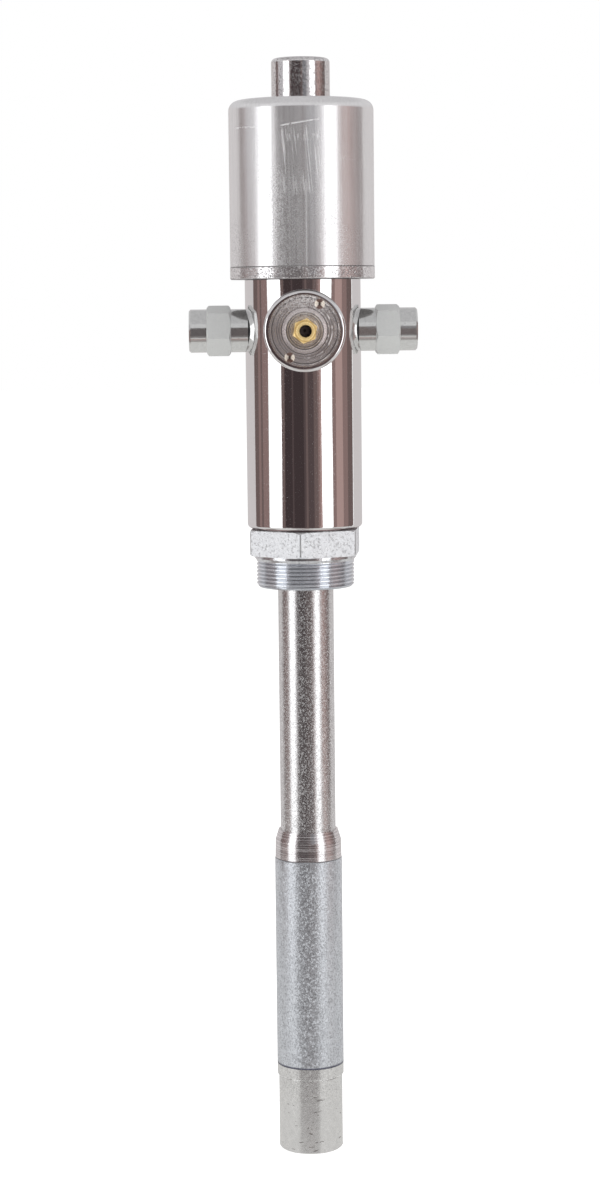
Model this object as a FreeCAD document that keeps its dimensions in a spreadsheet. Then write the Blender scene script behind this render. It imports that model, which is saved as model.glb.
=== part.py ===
# Air-driven oil pump: a double-acting lower pump hung under a reciprocating air motor.
# Millimetres, +Z up. The origin is the centre of the bung shoulder, the underside of the big hexagon,
# and the air inlet faces -Y. Heights are measured up from that shoulder, depths down from it.
import FreeCAD, Part
import Sketcher
import math
import os

# Driving dimensions, one named value each
SIZES = {
    # clearances between pieces
    "fit_gap": 0.05,
    "run_gap": 0.05,
    "free_gap": 0.3,
    # heights and lengths along the axis
    "hex_height": 15.6,
    "neck_height": 0.8,
    "body_height": 150.1,
    "flange_height": 7.4,
    "cylinder_height": 98.9,
    "cap_height": 24.9,
    "thread_depth": 19.8,
    "riser_length": 151.4,
    "coupling_length": 17.6,
    "barrel_length": 130.4,
    "foot_ring_height": 7.1,
    "foot_length": 46.9,
    "spigot_length": 12.0,
    # air motor
    "cylinder_bore": 78.0,
    "cylinder_wall": 4.6,
    "crown_thickness": 5.0,
    "crown_round": 6.0,
    "flange_proud": 0.1,
    "flange_spigot": 8.0,
    "cap_round": 2.6,
    "cap_nut_room": 1.7,
    "cap_wall": 2.5,
    "cap_lip": 1.5,
    "cap_roof": 4.0,
    "cap_seal_width": 2.0,
    "cap_seal_height": 1.5,
    "ring_section": 2.6,
    "air_tube_dia": 5.0,
    "air_tube_bore": 3.4,
    "air_tube_web": 1.8,
    "air_tube_end_gap": 1.3,
    "air_hole_dia": 3.5,
    "lower_air_edge": 3.0,
    # piston and rods
    "piston_gap": 0.4,
    "piston_thickness": 12.0,
    "piston_groove_depth": 4.2,
    "piston_groove_width": 5.0,
    "piston_dish_depth": 3.0,
    "piston_rim": 6.5,
    "piston_hub_dia": 30.0,
    "rod_dia": 25.0,
    "rod_length": 120.3,
    "rod_end_dia": 12.0,
    "rod_end_above_nut": 2.0,
    "washer_proud": 0.7,
    "washer_thickness": 2.0,
    "nut_flats": 17.0,
    "nut_height": 8.0,
    "bush_wall": 3.4,
    "bush_length": 14.0,
    "cup_wall": 4.9,
    "cup_height": 6.0,
    "cup_lip_depth": 2.4,
    "gland_height": 5.0,
    "packing_height": 3.75,
    "packing_notch": 1.3,
    "connecting_dia": 12.0,
    "connecting_thread_dia": 10.0,
    "connecting_thread_length": 22.0,
    "lock_nut_flats": 19.0,
    "lock_nut_height": 8.0,
    # chromed body
    "body_dia": 70.0,
    "body_round": 2.5,
    "body_wall": 5.0,
    "body_room_drop": 35.6,
    "body_cone_height": 8.0,
    "body_rim": 4.0,
    "body_top_depth": 8.0,
    "gallery_gap": 3.5,
    "packing_wall": 5.5,
    "port_drop": 30.5,
    "chest_wall": 3.05,
    "chest_edge": 2.4,
    "chamber_lip": 2.4,
    "chamber_wall": 4.5,
    # chest cover and air inlet
    "cover_dia": 42.8,
    "cover_thickness": 8.0,
    "cover_recess": 0.5,
    "cover_dish_step": 2.0,
    "cover_dish_depth": 2.5,
    "cover_boss_dia": 26.4,
    "cover_boss_draft": 1.8,
    "cover_boss_height": 4.0,
    "cover_edge": 0.4,
    "cover_boss_round": 0.5,
    "pin_hole_dia": 6.4,
    "pin_hole_depth": 2.6,
    "pin_hole_radius": 18.1,
    "pin_hole_cone": 40.0,
    "inlet_thread_dia": 13.0,
    "inlet_shoulder_dia": 9.0,
    "inlet_shoulder": 1.0,
    "screen_thickness": 0.8,
    "screen_hole_dia": 1.8,
    "screen_hole_radius": 3.2,
    "nipple_flats": 13.0,
    "nipple_hex": 8.0,
    "nipple_nose_dia": 11.0,
    "nipple_nose": 10.0,
    "nipple_bore": 7.0,
    "nipple_edge": 0.8,
    "nipple_turn": 20.6,
    # air valve
    "plate_thickness": 2.5,
    "valve_slot_width": 10.0,
    "valve_slot_height": 3.0,
    "valve_slot_pitch": 6.5,
    "block_thickness": 10.4,
    "spool_dia": 8.0,
    "spool_depth": 5.5,
    "spool_length": 28.0,
    "spool_travel": 6.0,
    "spool_waist_dia": 4.4,
    "shoe_width": 10.0,
    "shoe_height": 10.0,
    "shoe_pocket": 1.6,
    "shoe_wall": 1.5,
    "window_width": 12.0,
    "window_height": 21.0,
    "block_inlet_dia": 5.0,
    # exhaust
    "exhaust_thread_dia": 13.0,
    "exhaust_thread_length": 9.0,
    "exhaust_head_dia": 16.0,
    "exhaust_head_height": 5.0,
    "exhaust_slot": 2.0,
    "exhaust_spot": 0.8,
    # oil outlets
    "outlet_spot_depth": 2.8,
    "outlet_seal_thickness": 1.2,
    "outlet_inner_collar": 10.4,
    "outlet_hex_length": 14.5,
    "outlet_outer_collar": 10.7,
    "outlet_collar_dia": 26.0,
    "outlet_flats": 27.0,
    "outlet_chamfer": 1.0,
    "outlet_hex_chamfer": 1.3,
    "outlet_spot_gap": 0.3,
    "outlet_male_dia": 21.0,
    "outlet_male_gap": 2.2,
    "outlet_bore": 13.0,
    "outlet_female_dia": 18.64,
    "outlet_female_depth": 14.0,
    "left_hex_turn": 43.0,
    "right_hex_turn": 14.4,
    # bung adapter
    "bung_flats": 64.0,
    "bung_hex_chamfer": 1.2,
    "bung_face_dia": 69.8,
    "bung_hex_turn": 24.1,
    "bung_neck_step": 3.5,
    "bung_collar_dia": 62.2,
    "bung_collar_depth": 1.8,
    "bung_thread_dia": 59.6,
    "bung_taper_depth": 3.4,
    "bung_thread_chamfer": 1.6,
    "bung_spigot_height": 13.6,
    "bung_riser_seat": 10.0,
    # riser, coupling and barrel
    "riser_dia": 34.0,
    "riser_bore": 28.0,
    "riser_insert": 14.8,
    "coupling_wall": 3.5,
    "coupling_lip": 1.3,
    "coupling_shoulder": 6.4,
    "coupling_waist": 0.4,
    "coupling_round": 4.0,
    "coupling_mark_width": 0.5,
    "coupling_mark_depth": 0.3,
    "coupling_mark_low": 2.2,
    "coupling_mark_pitch": 2.4,
    "barrel_bore": 35.0,
    "barrel_wall": 3.25,
    "barrel_socket_step": 1.5,
    # lower piston
    "plunger_rise": 0.6,
    "plunger_seat_dia": 13.0,
    "plunger_seat_height": 5.0,
    "plunger_chamber_gap": 1.0,
    "plunger_seal_wall": 2.9,
    "plunger_seal_height": 4.0,
    "plunger_seal_low": 7.0,
    "plunger_seal_pitch": 7.0,
    "cage_wall": 3.0,
    "cage_skirt": 5.5,
    "cage_height": 16.0,
    "cage_roof": 9.0,
    "cage_window": 6.0,
    "cage_window_height": 5.5,
    "piston_ball_dia": 16.0,
    "piston_ball_lift": 3.5,
    "stop_pin_dia": 2.5,
    "ball_gap": 0.25,
    # foot valve
    "foot_ring_step": 0.05,
    "foot_step": 0.95,
    "foot_groove": 0.6,
    "foot_chamfer": 0.8,
    "foot_cage_gap": 3.0,
    "foot_inlet_dia": 30.3,
    "foot_seat_step": 0.4,
    "foot_seat_bore": 15.0,
    "foot_seat_height": 8.0,
    "foot_ball_dia": 20.0,
    "foot_ball_lift": 5.0,
    "foot_pin_dia": 3.0,
    "strainer_thickness": 1.2,
    "strainer_hole_dia": 3.0,
    "strainer_rim": 5.1,
    "retainer_height": 5.0,
    "retainer_bore": 24.0,
    "retainer_slot": 3.0,
}

doc = FreeCAD.newDocument("oil_pump")
sheet = doc.addObject("Spreadsheet::Sheet", "sizes")


class Size:
    """A number together with the expression over the sheet's cells that gives it."""

    def __init__(self, value, text):
        self.value = value
        self.text = text

    def __add__(self, other):
        other = as_size(other)
        return Size(self.value + other.value, f"({self.text} + {other.text})")

    def __sub__(self, other):
        other = as_size(other)
        return Size(self.value - other.value, f"({self.text} - {other.text})")

    def __mul__(self, other):
        other = as_size(other)
        return Size(self.value * other.value, f"({self.text} * {other.text})")

    def __truediv__(self, other):
        other = as_size(other)
        return Size(self.value / other.value, f"({self.text} / {other.text})")

    def __neg__(self):
        return Size(-self.value, f"(-1 * {self.text})")


def as_size(number):
    """A plain number as a Size, a Size as it is."""
    if isinstance(number, Size):
        return number
    return Size(float(number), repr(float(number)))


def root(number):
    """Square root, for hexagon corners and balls on their seats."""
    number = as_size(number)
    return Size(math.sqrt(number.value), f"sqrt({number.text})")


def fill_sheet():
    """One row per driving dimension: its name in column A, its number in column B."""
    for row, (name, number) in enumerate(SIZES.items(), start=1):
        sheet.set(f"A{row}", name)
        sheet.set(f"B{row}", str(number))
        sheet.setAlias(f"B{row}", name)
    doc.recompute()


def size(name):
    """The driving dimension of that name."""
    return Size(float(SIZES[name]), f"sizes.{name}")


def half(name):
    """Half a driving dimension, such as a radius."""
    return size(name) / 2


fill_sheet()

# Clearances
FIT = size("fit_gap")
RUN = size("run_gap")
FREE = size("free_gap")

# Heights of the faces where one piece sits on the next
HEX_TOP = size("hex_height")
BODY_LOW = HEX_TOP + size("neck_height")
BODY_TOP = BODY_LOW + size("body_height")
FLANGE_TOP = BODY_TOP + size("flange_height")
CYLINDER_TOP = FLANGE_TOP + size("cylinder_height")
CEILING = CYLINDER_TOP - size("crown_thickness")
CAP_TOP = CYLINDER_TOP + size("cap_height")
SPIGOT_TOP = FLANGE_TOP + size("flange_spigot")
HEAD_FLOOR = BODY_TOP - size("body_top_depth")
PORT_Z = BODY_TOP - size("port_drop")
THREAD_END = -size("thread_depth")
RISER_LOW = THREAD_END - size("riser_length")
BARREL_TOP = RISER_LOW - size("coupling_length")
BARREL_LOW = BARREL_TOP - size("barrel_length")
RING_LOW = BARREL_LOW - size("foot_ring_height")
FOOT_LOW = RING_LOW - size("foot_length")
FOOT_SPIGOT_TOP = BARREL_LOW + size("spigot_length")

# Radii shared by mating pieces
CYLINDER_R = half("cylinder_bore")
CYLINDER_OUTER = CYLINDER_R + size("cylinder_wall")
BODY_R = half("body_dia")
LOWER_R = BODY_R - size("body_wall")
TOP_BORE_R = BODY_R - size("body_rim")
ROD_R = half("rod_dia")
GALLERY_R = ROD_R + size("gallery_gap")
PACKING_R = ROD_R + size("packing_wall")
CUP_R = ROD_R + RUN + size("cup_wall")
NUT_R = size("nut_flats") / root(3)
CAP_BORE_R = NUT_R + size("cap_nut_room")
CAP_SPIGOT_R = CAP_BORE_R + size("cap_wall")
COVER_R = half("cover_dia")
CHAMBER_R = COVER_R - size("chamber_lip")
RISER_R = half("riser_dia")
BORE_R = half("riser_bore")
BARREL_R = half("barrel_bore")
BARREL_OUTER = BARREL_R + size("barrel_wall")
SOCKET_R = BARREL_R + size("barrel_socket_step")
PISTON_BALL_R = half("piston_ball_dia")
BALL_CHAMBER_R = PISTON_BALL_R + size("plunger_chamber_gap")
CAGE_R = BALL_CHAMBER_R + size("cage_wall")
FOOT_R = BARREL_OUTER - size("foot_step")
FOOT_BALL_R = half("foot_ball_dia")

# Offsets from the axis of the air tube and of the drilling to the cylinder's lower end
TUBE_OFFSET = CUP_R + size("air_tube_web") + half("air_tube_dia")
LOWER_AIR_OFFSET = TOP_BORE_R - size("lower_air_edge")

# Distances out from the pump's axis: the pieces stacked in the chest, then the side and rear ports
CHAMBER_FLOOR = GALLERY_R + size("chamber_wall")
BLOCK_BACK = CHAMBER_FLOOR + size("plate_thickness")
SPOOL_AXIS = BLOCK_BACK + size("spool_depth")
SEAL_BACK = BLOCK_BACK + size("block_thickness")
COVER_BACK = SEAL_BACK + FREE * 2
CHEST_FRONT = COVER_BACK + size("cover_thickness")
COVER_FACE = CHEST_FRONT - size("cover_recess")
BOSS_FACE = CHEST_FRONT + size("cover_boss_height")
SCREEN_BACK = COVER_BACK + size("cover_dish_depth") + size("inlet_shoulder")
SCREEN_FRONT = SCREEN_BACK + size("screen_thickness")
OUTLET_SEAT = BODY_R - size("outlet_spot_depth")
OUTLET_MALE_END = GALLERY_R + size("outlet_male_gap")
COLLAR_BACK = OUTLET_SEAT + size("outlet_seal_thickness")
OUTLET_HEX_INNER = COLLAR_BACK + size("outlet_inner_collar")
OUTLET_HEX_OUTER = OUTLET_HEX_INNER + size("outlet_hex_length")
OUTLET_TIP = OUTLET_HEX_OUTER + size("outlet_outer_collar")
EXHAUST_FLOOR = BODY_R - size("exhaust_spot")


def ball_rise(radius, seat_radius):
    """Height of a ball's centre above the sharp seat edge that carries it."""
    return root(radius * radius - seat_radius * seat_radius) + size("ball_gap")


# Heights on the moving pieces at rest, at the bottom of the stroke
PISTON_LOW = SPIGOT_TOP + size("piston_gap")
PISTON_TOP = PISTON_LOW + size("piston_thickness")
WASHER_TOP = PISTON_TOP + size("washer_thickness")
NUT_TOP = WASHER_TOP + size("nut_height")
ROD_LOW = PISTON_LOW - size("rod_length")
LOCK_NUT_LOW = ROD_LOW - size("lock_nut_height")
PLUNGER_LOW = FOOT_SPIGOT_TOP + size("plunger_rise")
PLUNGER_SEAT = PLUNGER_LOW + size("plunger_seat_height")
PISTON_BALL_Z = PLUNGER_SEAT + ball_rise(PISTON_BALL_R, half("plunger_seat_dia"))
STOP_PIN_Z = PISTON_BALL_Z + PISTON_BALL_R + size("piston_ball_lift") + FREE + half("stop_pin_dia")
CAGE_LOW = STOP_PIN_Z + half("stop_pin_dia") + FREE
PLUNGER_TOP = CAGE_LOW + size("cage_skirt")
CAGE_ROOF = PLUNGER_TOP + size("cage_roof")
CAGE_TOP = PLUNGER_TOP + size("cage_height")

# Heights in the foot valve, down from the pin that stops its ball
FOOT_PIN_Z = BARREL_LOW + size("spigot_length") / 2
FOOT_BALL_Z = FOOT_PIN_Z - half("foot_pin_dia") - FREE - size("foot_ball_lift") - FOOT_BALL_R
FOOT_SEAT = FOOT_BALL_Z - ball_rise(FOOT_BALL_R, half("foot_seat_bore"))
SEAT_LOW = FOOT_SEAT - size("foot_seat_height")
STRAINER_LOW = SEAT_LOW - size("strainer_thickness")
RETAINER_LOW = STRAINER_LOW - size("retainer_height")

# Ways that a piece made along its own Z axis is turned into place
FORWARD = FreeCAD.Rotation(FreeCAD.Vector(1, 0, 0), 90)
TO_RIGHT = FreeCAD.Rotation(FreeCAD.Vector(0, -1, 0), FreeCAD.Vector(0, 0, -1), FreeCAD.Vector(1, 0, 0))
TO_LEFT = FreeCAD.Rotation(FreeCAD.Vector(0, -1, 0), FreeCAD.Vector(0, 0, 1), FreeCAD.Vector(-1, 0, 0))
BACKWARD = FreeCAD.Rotation(FreeCAD.Vector(1, 0, 0), -90)

nodes = []


def keep(piece, label):
    """Register a finished piece under its name."""
    piece.Label = label
    nodes.append(piece)
    return piece


def new_body(label):
    """An empty body for one piece."""
    return keep(doc.addObject("PartDesign::Body", label), label)


def place(piece, rotation=FreeCAD.Rotation(), height=None, turn=None):
    """Turn a piece about its own axis, then point that axis, then raise it to its height."""
    spin = FreeCAD.Rotation(FreeCAD.Vector(0, 0, 1), turn.value if turn else 0)
    piece.Placement = FreeCAD.Placement(FreeCAD.Vector(0, 0, 0), rotation.multiply(spin))
    if height is not None:
        piece.Placement.Base.z = height.value
        piece.setExpression("Placement.Base.z", height.text)
    return piece


def plane_of(body, role):
    """One of a body's own origin planes."""
    return next(item for item in body.Origin.OriginFeatures if item.Role == role)


def new_sketch(body, role, offset=None):
    """A sketch on one of the body's origin planes, moved along the plane's normal by offset."""
    sketch = body.newObject("Sketcher::SketchObject", "sketch")
    sketch.AttachmentSupport = [(plane_of(body, role), "")]
    sketch.MapMode = "FlatFace"
    if offset is not None:
        offset = as_size(offset)
        sketch.AttachmentOffset = FreeCAD.Placement(FreeCAD.Vector(0, 0, offset.value), FreeCAD.Rotation())
        sketch.setExpression("AttachmentOffset.Base.z", offset.text)
    return sketch


def bind(sketch, kind, geometry, point, number):
    """Tie one coordinate of a point in a sketch to the sheet."""
    index = sketch.addConstraint(Sketcher.Constraint(kind, -1, 1, geometry, point, number.value))
    sketch.setExpression(f"Constraints[{index}]", number.text)


def draw_outline(sketch, corners):
    """A closed outline of straight lines with every corner tied to the sheet."""
    corners = [(as_size(across), as_size(up)) for across, up in corners]
    places = [FreeCAD.Vector(across.value, up.value, 0) for across, up in corners]
    first = sketch.GeometryCount
    count = len(corners)
    for index in range(count):
        sketch.addGeometry(Part.LineSegment(places[index], places[(index + 1) % count]), False)
    for index in range(count):
        following = first + (index + 1) % count
        sketch.addConstraint(Sketcher.Constraint("Coincident", first + index, 2, following, 1))
    for index, (across, up) in enumerate(corners):
        bind(sketch, "DistanceX", first + index, 1, across)
        bind(sketch, "DistanceY", first + index, 1, up)
    return sketch


def draw_circle(sketch, radius, across=0, up=0):
    """A circle with its radius and centre tied to the sheet."""
    radius = as_size(radius)
    across = as_size(across)
    up = as_size(up)
    centre = FreeCAD.Vector(across.value, up.value, 0)
    circle = sketch.addGeometry(Part.Circle(centre, FreeCAD.Vector(0, 0, 1), radius.value), False)
    index = sketch.addConstraint(Sketcher.Constraint("Radius", circle, radius.value))
    sketch.setExpression(f"Constraints[{index}]", radius.text)
    bind(sketch, "DistanceX", circle, 3, across)
    bind(sketch, "DistanceY", circle, 3, up)
    return sketch


def draw_box(sketch, width, height, across=0, up=0):
    """A rectangle about a centre."""
    across = as_size(across)
    up = as_size(up)
    right = across + width / 2
    left = across - width / 2
    top = up + height / 2
    low = up - height / 2
    return draw_outline(sketch, [(left, low), (right, low), (right, top), (left, top)])


def draw_hexagon(sketch, flats):
    """A hexagon with two corners on the sketch's horizontal axis."""
    corner = flats / root(3)
    side = flats / 2
    return draw_outline(sketch, [(corner, 0), (corner / 2, side), (-corner / 2, side),
                                 (-corner, 0), (-corner / 2, -side), (corner / 2, -side)])


def finish_feature(body, feature, grows):
    """Recompute, and stop if the feature failed or changed the body the wrong way."""
    before = feature_volume(body, feature)
    doc.recompute()
    after = feature.Shape.Volume
    if (after > before) != grows or abs(after - before) < 1e-6:
        raise RuntimeError(f"{body.Label}: {feature.Name} takes {before:.2f} to {after:.2f}")
    body.Tip = feature
    return feature


def feature_volume(body, feature):
    """Volume of the body just before a feature."""
    base = feature.BaseFeature
    return base.Shape.Volume if base is not None else 0.0


def add_turned(body, corners):
    """Material turned about the body's Z axis from a radius-and-height outline."""
    sketch = draw_outline(new_sketch(body, "XZ_Plane"), corners)
    feature = body.newObject("PartDesign::Revolution", "turned")
    feature.Profile = (sketch, [""])
    feature.ReferenceAxis = (sketch, ["V_Axis"])
    return finish_feature(body, feature, True)


def cut_turned(body, corners):
    """A groove or bore turned about the body's Z axis."""
    sketch = draw_outline(new_sketch(body, "XZ_Plane"), corners)
    feature = body.newObject("PartDesign::Groove", "groove")
    feature.Profile = (sketch, [""])
    feature.ReferenceAxis = (sketch, ["V_Axis"])
    return finish_feature(body, feature, False)


def add_pad(body, sketch, length):
    """A pad along the sketch's normal."""
    feature = body.newObject("PartDesign::Pad", "pad")
    feature.Profile = (sketch, [""])
    length = as_size(length)
    feature.Length = length.value
    feature.setExpression("Length", length.text)
    return finish_feature(body, feature, True)


def cut_pocket(body, sketch, length, along_normal=False, both_ways=False, taper=None):
    """A pocket against the sketch's normal, or along it, or both ways."""
    feature = body.newObject("PartDesign::Pocket", "pocket")
    feature.Profile = (sketch, [""])
    length = as_size(length)
    feature.Length = length.value
    feature.setExpression("Length", length.text)
    feature.Reversed = along_normal
    feature.Midplane = both_ways
    if taper is not None:
        feature.TaperAngle = taper.value
        feature.setExpression("TaperAngle", taper.text)
    return finish_feature(body, feature, False)


def repeat_round(body, feature, count):
    """The same feature several times round the body's Z axis."""
    pattern = body.newObject("PartDesign::PolarPattern", "pattern")
    pattern.Originals = [feature]
    axis = next(item for item in body.Origin.OriginFeatures if item.Role == "Z_Axis")
    pattern.Axis = (axis, [""])
    pattern.Angle = 360
    pattern.Occurrences = count
    body.Tip = pattern
    doc.recompute()
    return pattern


def circle_edges(body, radius, height):
    """Names of the round edges about the Z axis with that radius, at that height in the body's own frame."""
    names = []
    for number, edge in enumerate(body.Tip.Shape.Edges, start=1):
        curve = edge.Curve
        if not isinstance(curve, Part.Circle):
            continue
        near_size = abs(curve.Radius - radius.value) < 1e-4
        near_place = abs(curve.Center.z - height.value) < 1e-4
        on_axis = math.hypot(curve.Center.x, curve.Center.y) < 1e-4
        if near_size and near_place and on_axis:
            names.append(f"Edge{number}")
    return names


def soften(body, kind, edges, amount):
    """A fillet or a chamfer on named edges of the body's last feature."""
    if not edges:
        raise RuntimeError(f"{body.Label}: no edge for a {kind}")
    base = body.Tip
    feature = body.newObject(f"PartDesign::{kind}", kind.lower())
    feature.Base = (base, edges)
    name = "Radius" if kind == "Fillet" else "Size"
    amount = as_size(amount)
    setattr(feature, name, amount.value)
    feature.setExpression(name, amount.text)
    body.Tip = feature
    doc.recompute()
    return feature


def chamfer_hexagon(body, flats, low, top, drop, low_face, top_face):
    """Turn the corners of a hexagon down at both of its ends, as a lathe leaves them."""
    corner = flats / root(3)
    beyond = corner + drop
    if top_face is not None:
        cut_turned(body, [(top_face, top), (beyond, top), (beyond, top - drop), (corner, top - drop)])
    if low_face is not None:
        cut_turned(body, [(low_face, low), (beyond, low), (beyond, low + drop), (corner, low + drop)])


def turned_piece(label, corners, rotation=FreeCAD.Rotation(), height=None, turn=None):
    """A piece that is one turned form."""
    body = new_body(label)
    add_turned(body, corners)
    return place(body, rotation, height, turn)


def ring_corners(inner, outer, low, top):
    """Outline of a plain ring."""
    return [(inner, low), (outer, low), (outer, top), (inner, top)]


def cup_corners(inner, outer, low, top, depth, upward):
    """Outline of a lip seal with its open side up or down."""
    middle = (inner + outer) / 2
    if upward:
        return [(inner, low), (outer, low), (outer, top), (middle, top - depth), (inner, top)]
    return [(inner, low), (middle, low + depth), (outer, low), (outer, top), (inner, top)]


def rubber_ring(label, inner, section, height):
    """A round-section sealing ring lying in its groove."""
    ring = keep(doc.addObject("Part::Torus", label), label)
    middle = inner + section / 2 + FIT
    ring.Radius1 = middle.value
    ring.setExpression("Radius1", middle.text)
    ring.Radius2 = (section / 2).value
    ring.setExpression("Radius2", (section / 2).text)
    return place(ring, height=height)


def ball(label, diameter, height):
    """A valve ball."""
    sphere = keep(doc.addObject("Part::Sphere", label), label)
    sphere.Radius = (diameter / 2).value
    sphere.setExpression("Radius", (diameter / 2).text)
    return place(sphere, height=height)


def cross_pin(label, diameter, length, height):
    """A plain pin lying along X, centred on the axis."""
    pin = keep(doc.addObject("Part::Cylinder", label), label)
    pin.Radius = (diameter / 2).value
    pin.setExpression("Radius", (diameter / 2).text)
    pin.Height = length.value
    pin.setExpression("Height", length.text)
    lie_down = FreeCAD.Rotation(FreeCAD.Vector(0, 1, 0), 90)
    pin.Placement = FreeCAD.Placement(FreeCAD.Vector(-length.value / 2, 0, height.value), lie_down)
    pin.setExpression("Placement.Base.x", (-length / 2).text)
    pin.setExpression("Placement.Base.z", height.text)
    return pin


def groove_ring(body, outer, middle, width, depth):
    """Cut a ring groove into an outside surface, wide enough for its seal."""
    beyond = outer + size("ring_section")
    cut_turned(body, ring_corners(outer - depth, beyond, middle - width / 2, middle + width / 2))


RING_SECTION = size("ring_section")
RING_WIDTH = RING_SECTION + FREE * 2
RING_DEPTH = RING_SECTION + FIT * 2


# Air motor

def make_motor_cylinder():
    """Drawn cup with a rounded crown, open at the bottom, bored for the top cap."""
    body = new_body("motor_cylinder")
    outer = CYLINDER_OUTER
    hole = CAP_SPIGOT_R + FIT
    add_turned(body, [(hole, CYLINDER_TOP), (outer, CYLINDER_TOP), (outer, FLANGE_TOP),
                      (CYLINDER_R, FLANGE_TOP), (CYLINDER_R, CEILING), (hole, CEILING)])
    soften(body, "Fillet", circle_edges(body, outer, CYLINDER_TOP), size("crown_round"))
    soften(body, "Chamfer", circle_edges(body, outer, FLANGE_TOP), FREE)


def make_top_cap():
    """Hollow chromed cap screwed into the crown: it clears the piston nut at the top of the stroke."""
    body = new_body("top_cap")
    spigot = CAP_SPIGOT_R
    seal = spigot + size("cap_seal_width")
    outer = seal + size("cap_lip")
    seal_top = CYLINDER_TOP + size("cap_seal_height")
    roof = CAP_TOP - size("cap_roof")
    inner = CAP_BORE_R
    add_turned(body, [(0, roof), (0, CAP_TOP), (outer, CAP_TOP), (outer, CYLINDER_TOP), (seal, CYLINDER_TOP),
                      (seal, seal_top), (spigot, seal_top), (spigot, CEILING), (inner, CEILING),
                      (inner, roof)])
    soften(body, "Fillet", circle_edges(body, outer, CAP_TOP), size("cap_round"))
    turned_piece("top_cap_seal", ring_corners(spigot + FIT, seal - FIT, CYLINDER_TOP, seal_top))


def make_cylinder_base():
    """Flanged base between cylinder and body, with ring grooves, rod bore and air passages."""
    body = new_body("cylinder_base")
    flange = CYLINDER_OUTER + size("flange_proud")
    upper = CYLINDER_R - FIT
    lower = TOP_BORE_R - FIT
    bush = ROD_R + RUN + size("bush_wall")
    cup = CUP_R
    bush_top = HEAD_FLOOR + size("bush_length")
    cup_low = SPIGOT_TOP - size("cup_height") - FREE
    rod_hole = ROD_R + FREE
    add_turned(body, [(bush, HEAD_FLOOR), (lower, HEAD_FLOOR), (lower, BODY_TOP), (flange, BODY_TOP),
                      (flange, FLANGE_TOP), (upper, FLANGE_TOP), (upper, SPIGOT_TOP), (cup, SPIGOT_TOP),
                      (cup, cup_low), (rod_hole, cup_low), (rod_hole, bush_top), (bush, bush_top)])
    soften(body, "Chamfer", circle_edges(body, flange, BODY_TOP), FREE * 2)
    groove_ring(body, upper, FLANGE_TOP + size("flange_spigot") / 2, RING_WIDTH, RING_DEPTH)
    groove_ring(body, lower, HEAD_FLOOR + size("body_top_depth") / 2, RING_WIDTH, RING_DEPTH)
    groove_half = half("air_hole_dia")
    groove_top = HEAD_FLOOR + size("air_hole_dia")
    cut_turned(body, ring_corners(TUBE_OFFSET - groove_half, TUBE_OFFSET + groove_half,
                                  HEAD_FLOOR, groove_top))
    tube_hole = draw_circle(new_sketch(body, "XY_Plane", HEAD_FLOOR), half("air_tube_dia") + FIT,
                            0, TUBE_OFFSET)
    cut_pocket(body, tube_hole, SPIGOT_TOP - HEAD_FLOOR, along_normal=True)
    air_hole = draw_circle(new_sketch(body, "XY_Plane", HEAD_FLOOR), half("air_hole_dia"),
                           0, -LOWER_AIR_OFFSET)
    cut_pocket(body, air_hole, SPIGOT_TOP - HEAD_FLOOR, along_normal=True)
    rubber_ring("cylinder_seal", upper - RING_DEPTH, RING_SECTION, FLANGE_TOP + size("flange_spigot") / 2)
    rubber_ring("base_seal", lower - RING_DEPTH, RING_SECTION, HEAD_FLOOR + size("body_top_depth") / 2)
    turned_piece("rod_bush", ring_corners(ROD_R + RUN, bush - FIT, HEAD_FLOOR, bush_top))
    turned_piece("rod_air_seal", cup_corners(ROD_R + RUN, cup - FIT, cup_low, cup_low + size("cup_height"),
                                             size("cup_lip_depth"), True))


def make_air_tube():
    """Tube that carries air past the piston to the upper end of the cylinder."""
    body = new_body("air_tube")
    low = HEAD_FLOOR + size("air_hole_dia")
    top = CEILING - size("air_tube_end_gap")
    sketch = new_sketch(body, "XY_Plane", low)
    draw_circle(sketch, half("air_tube_dia"), 0, TUBE_OFFSET)
    draw_circle(sketch, half("air_tube_bore"), 0, TUBE_OFFSET)
    add_pad(body, sketch, top - low)


def make_air_piston():
    """Dished piston with one wide seal groove, its nut and washer."""
    body = new_body("air_piston")
    outer = CYLINDER_R - FREE
    hub = half("piston_hub_dia")
    rim = outer - size("piston_rim")
    dish = size("piston_dish_depth")
    bore = half("rod_end_dia") + FIT
    middle = PISTON_LOW + size("piston_thickness") / 2
    floor = PISTON_LOW + dish
    roof = PISTON_TOP - dish
    add_turned(body, [(bore, PISTON_LOW), (hub, PISTON_LOW), (hub, floor), (rim, floor), (rim, PISTON_LOW),
                      (outer, PISTON_LOW), (outer, PISTON_TOP), (rim, PISTON_TOP), (rim, roof), (hub, roof),
                      (hub, PISTON_TOP), (bore, PISTON_TOP)])
    groove_ring(body, outer, middle, size("piston_groove_width"), size("piston_groove_depth"))
    tube_hole = draw_circle(new_sketch(body, "XY_Plane", PISTON_LOW), half("air_tube_dia") + RUN,
                            0, TUBE_OFFSET)
    cut_pocket(body, tube_hole, size("piston_thickness"), along_normal=True)
    seal_half = size("piston_groove_width") / 2 - FIT
    inner = outer - size("piston_groove_depth") + FIT
    turned_piece("air_piston_seal", ring_corners(inner, CYLINDER_R - RUN,
                                                 middle - seal_half, middle + seal_half))
    turned_piece("piston_washer", ring_corners(bore, NUT_R + size("washer_proud"), PISTON_TOP, WASHER_TOP))
    make_nut("piston_nut", size("nut_flats"), bore, WASHER_TOP, size("nut_height"))


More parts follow.
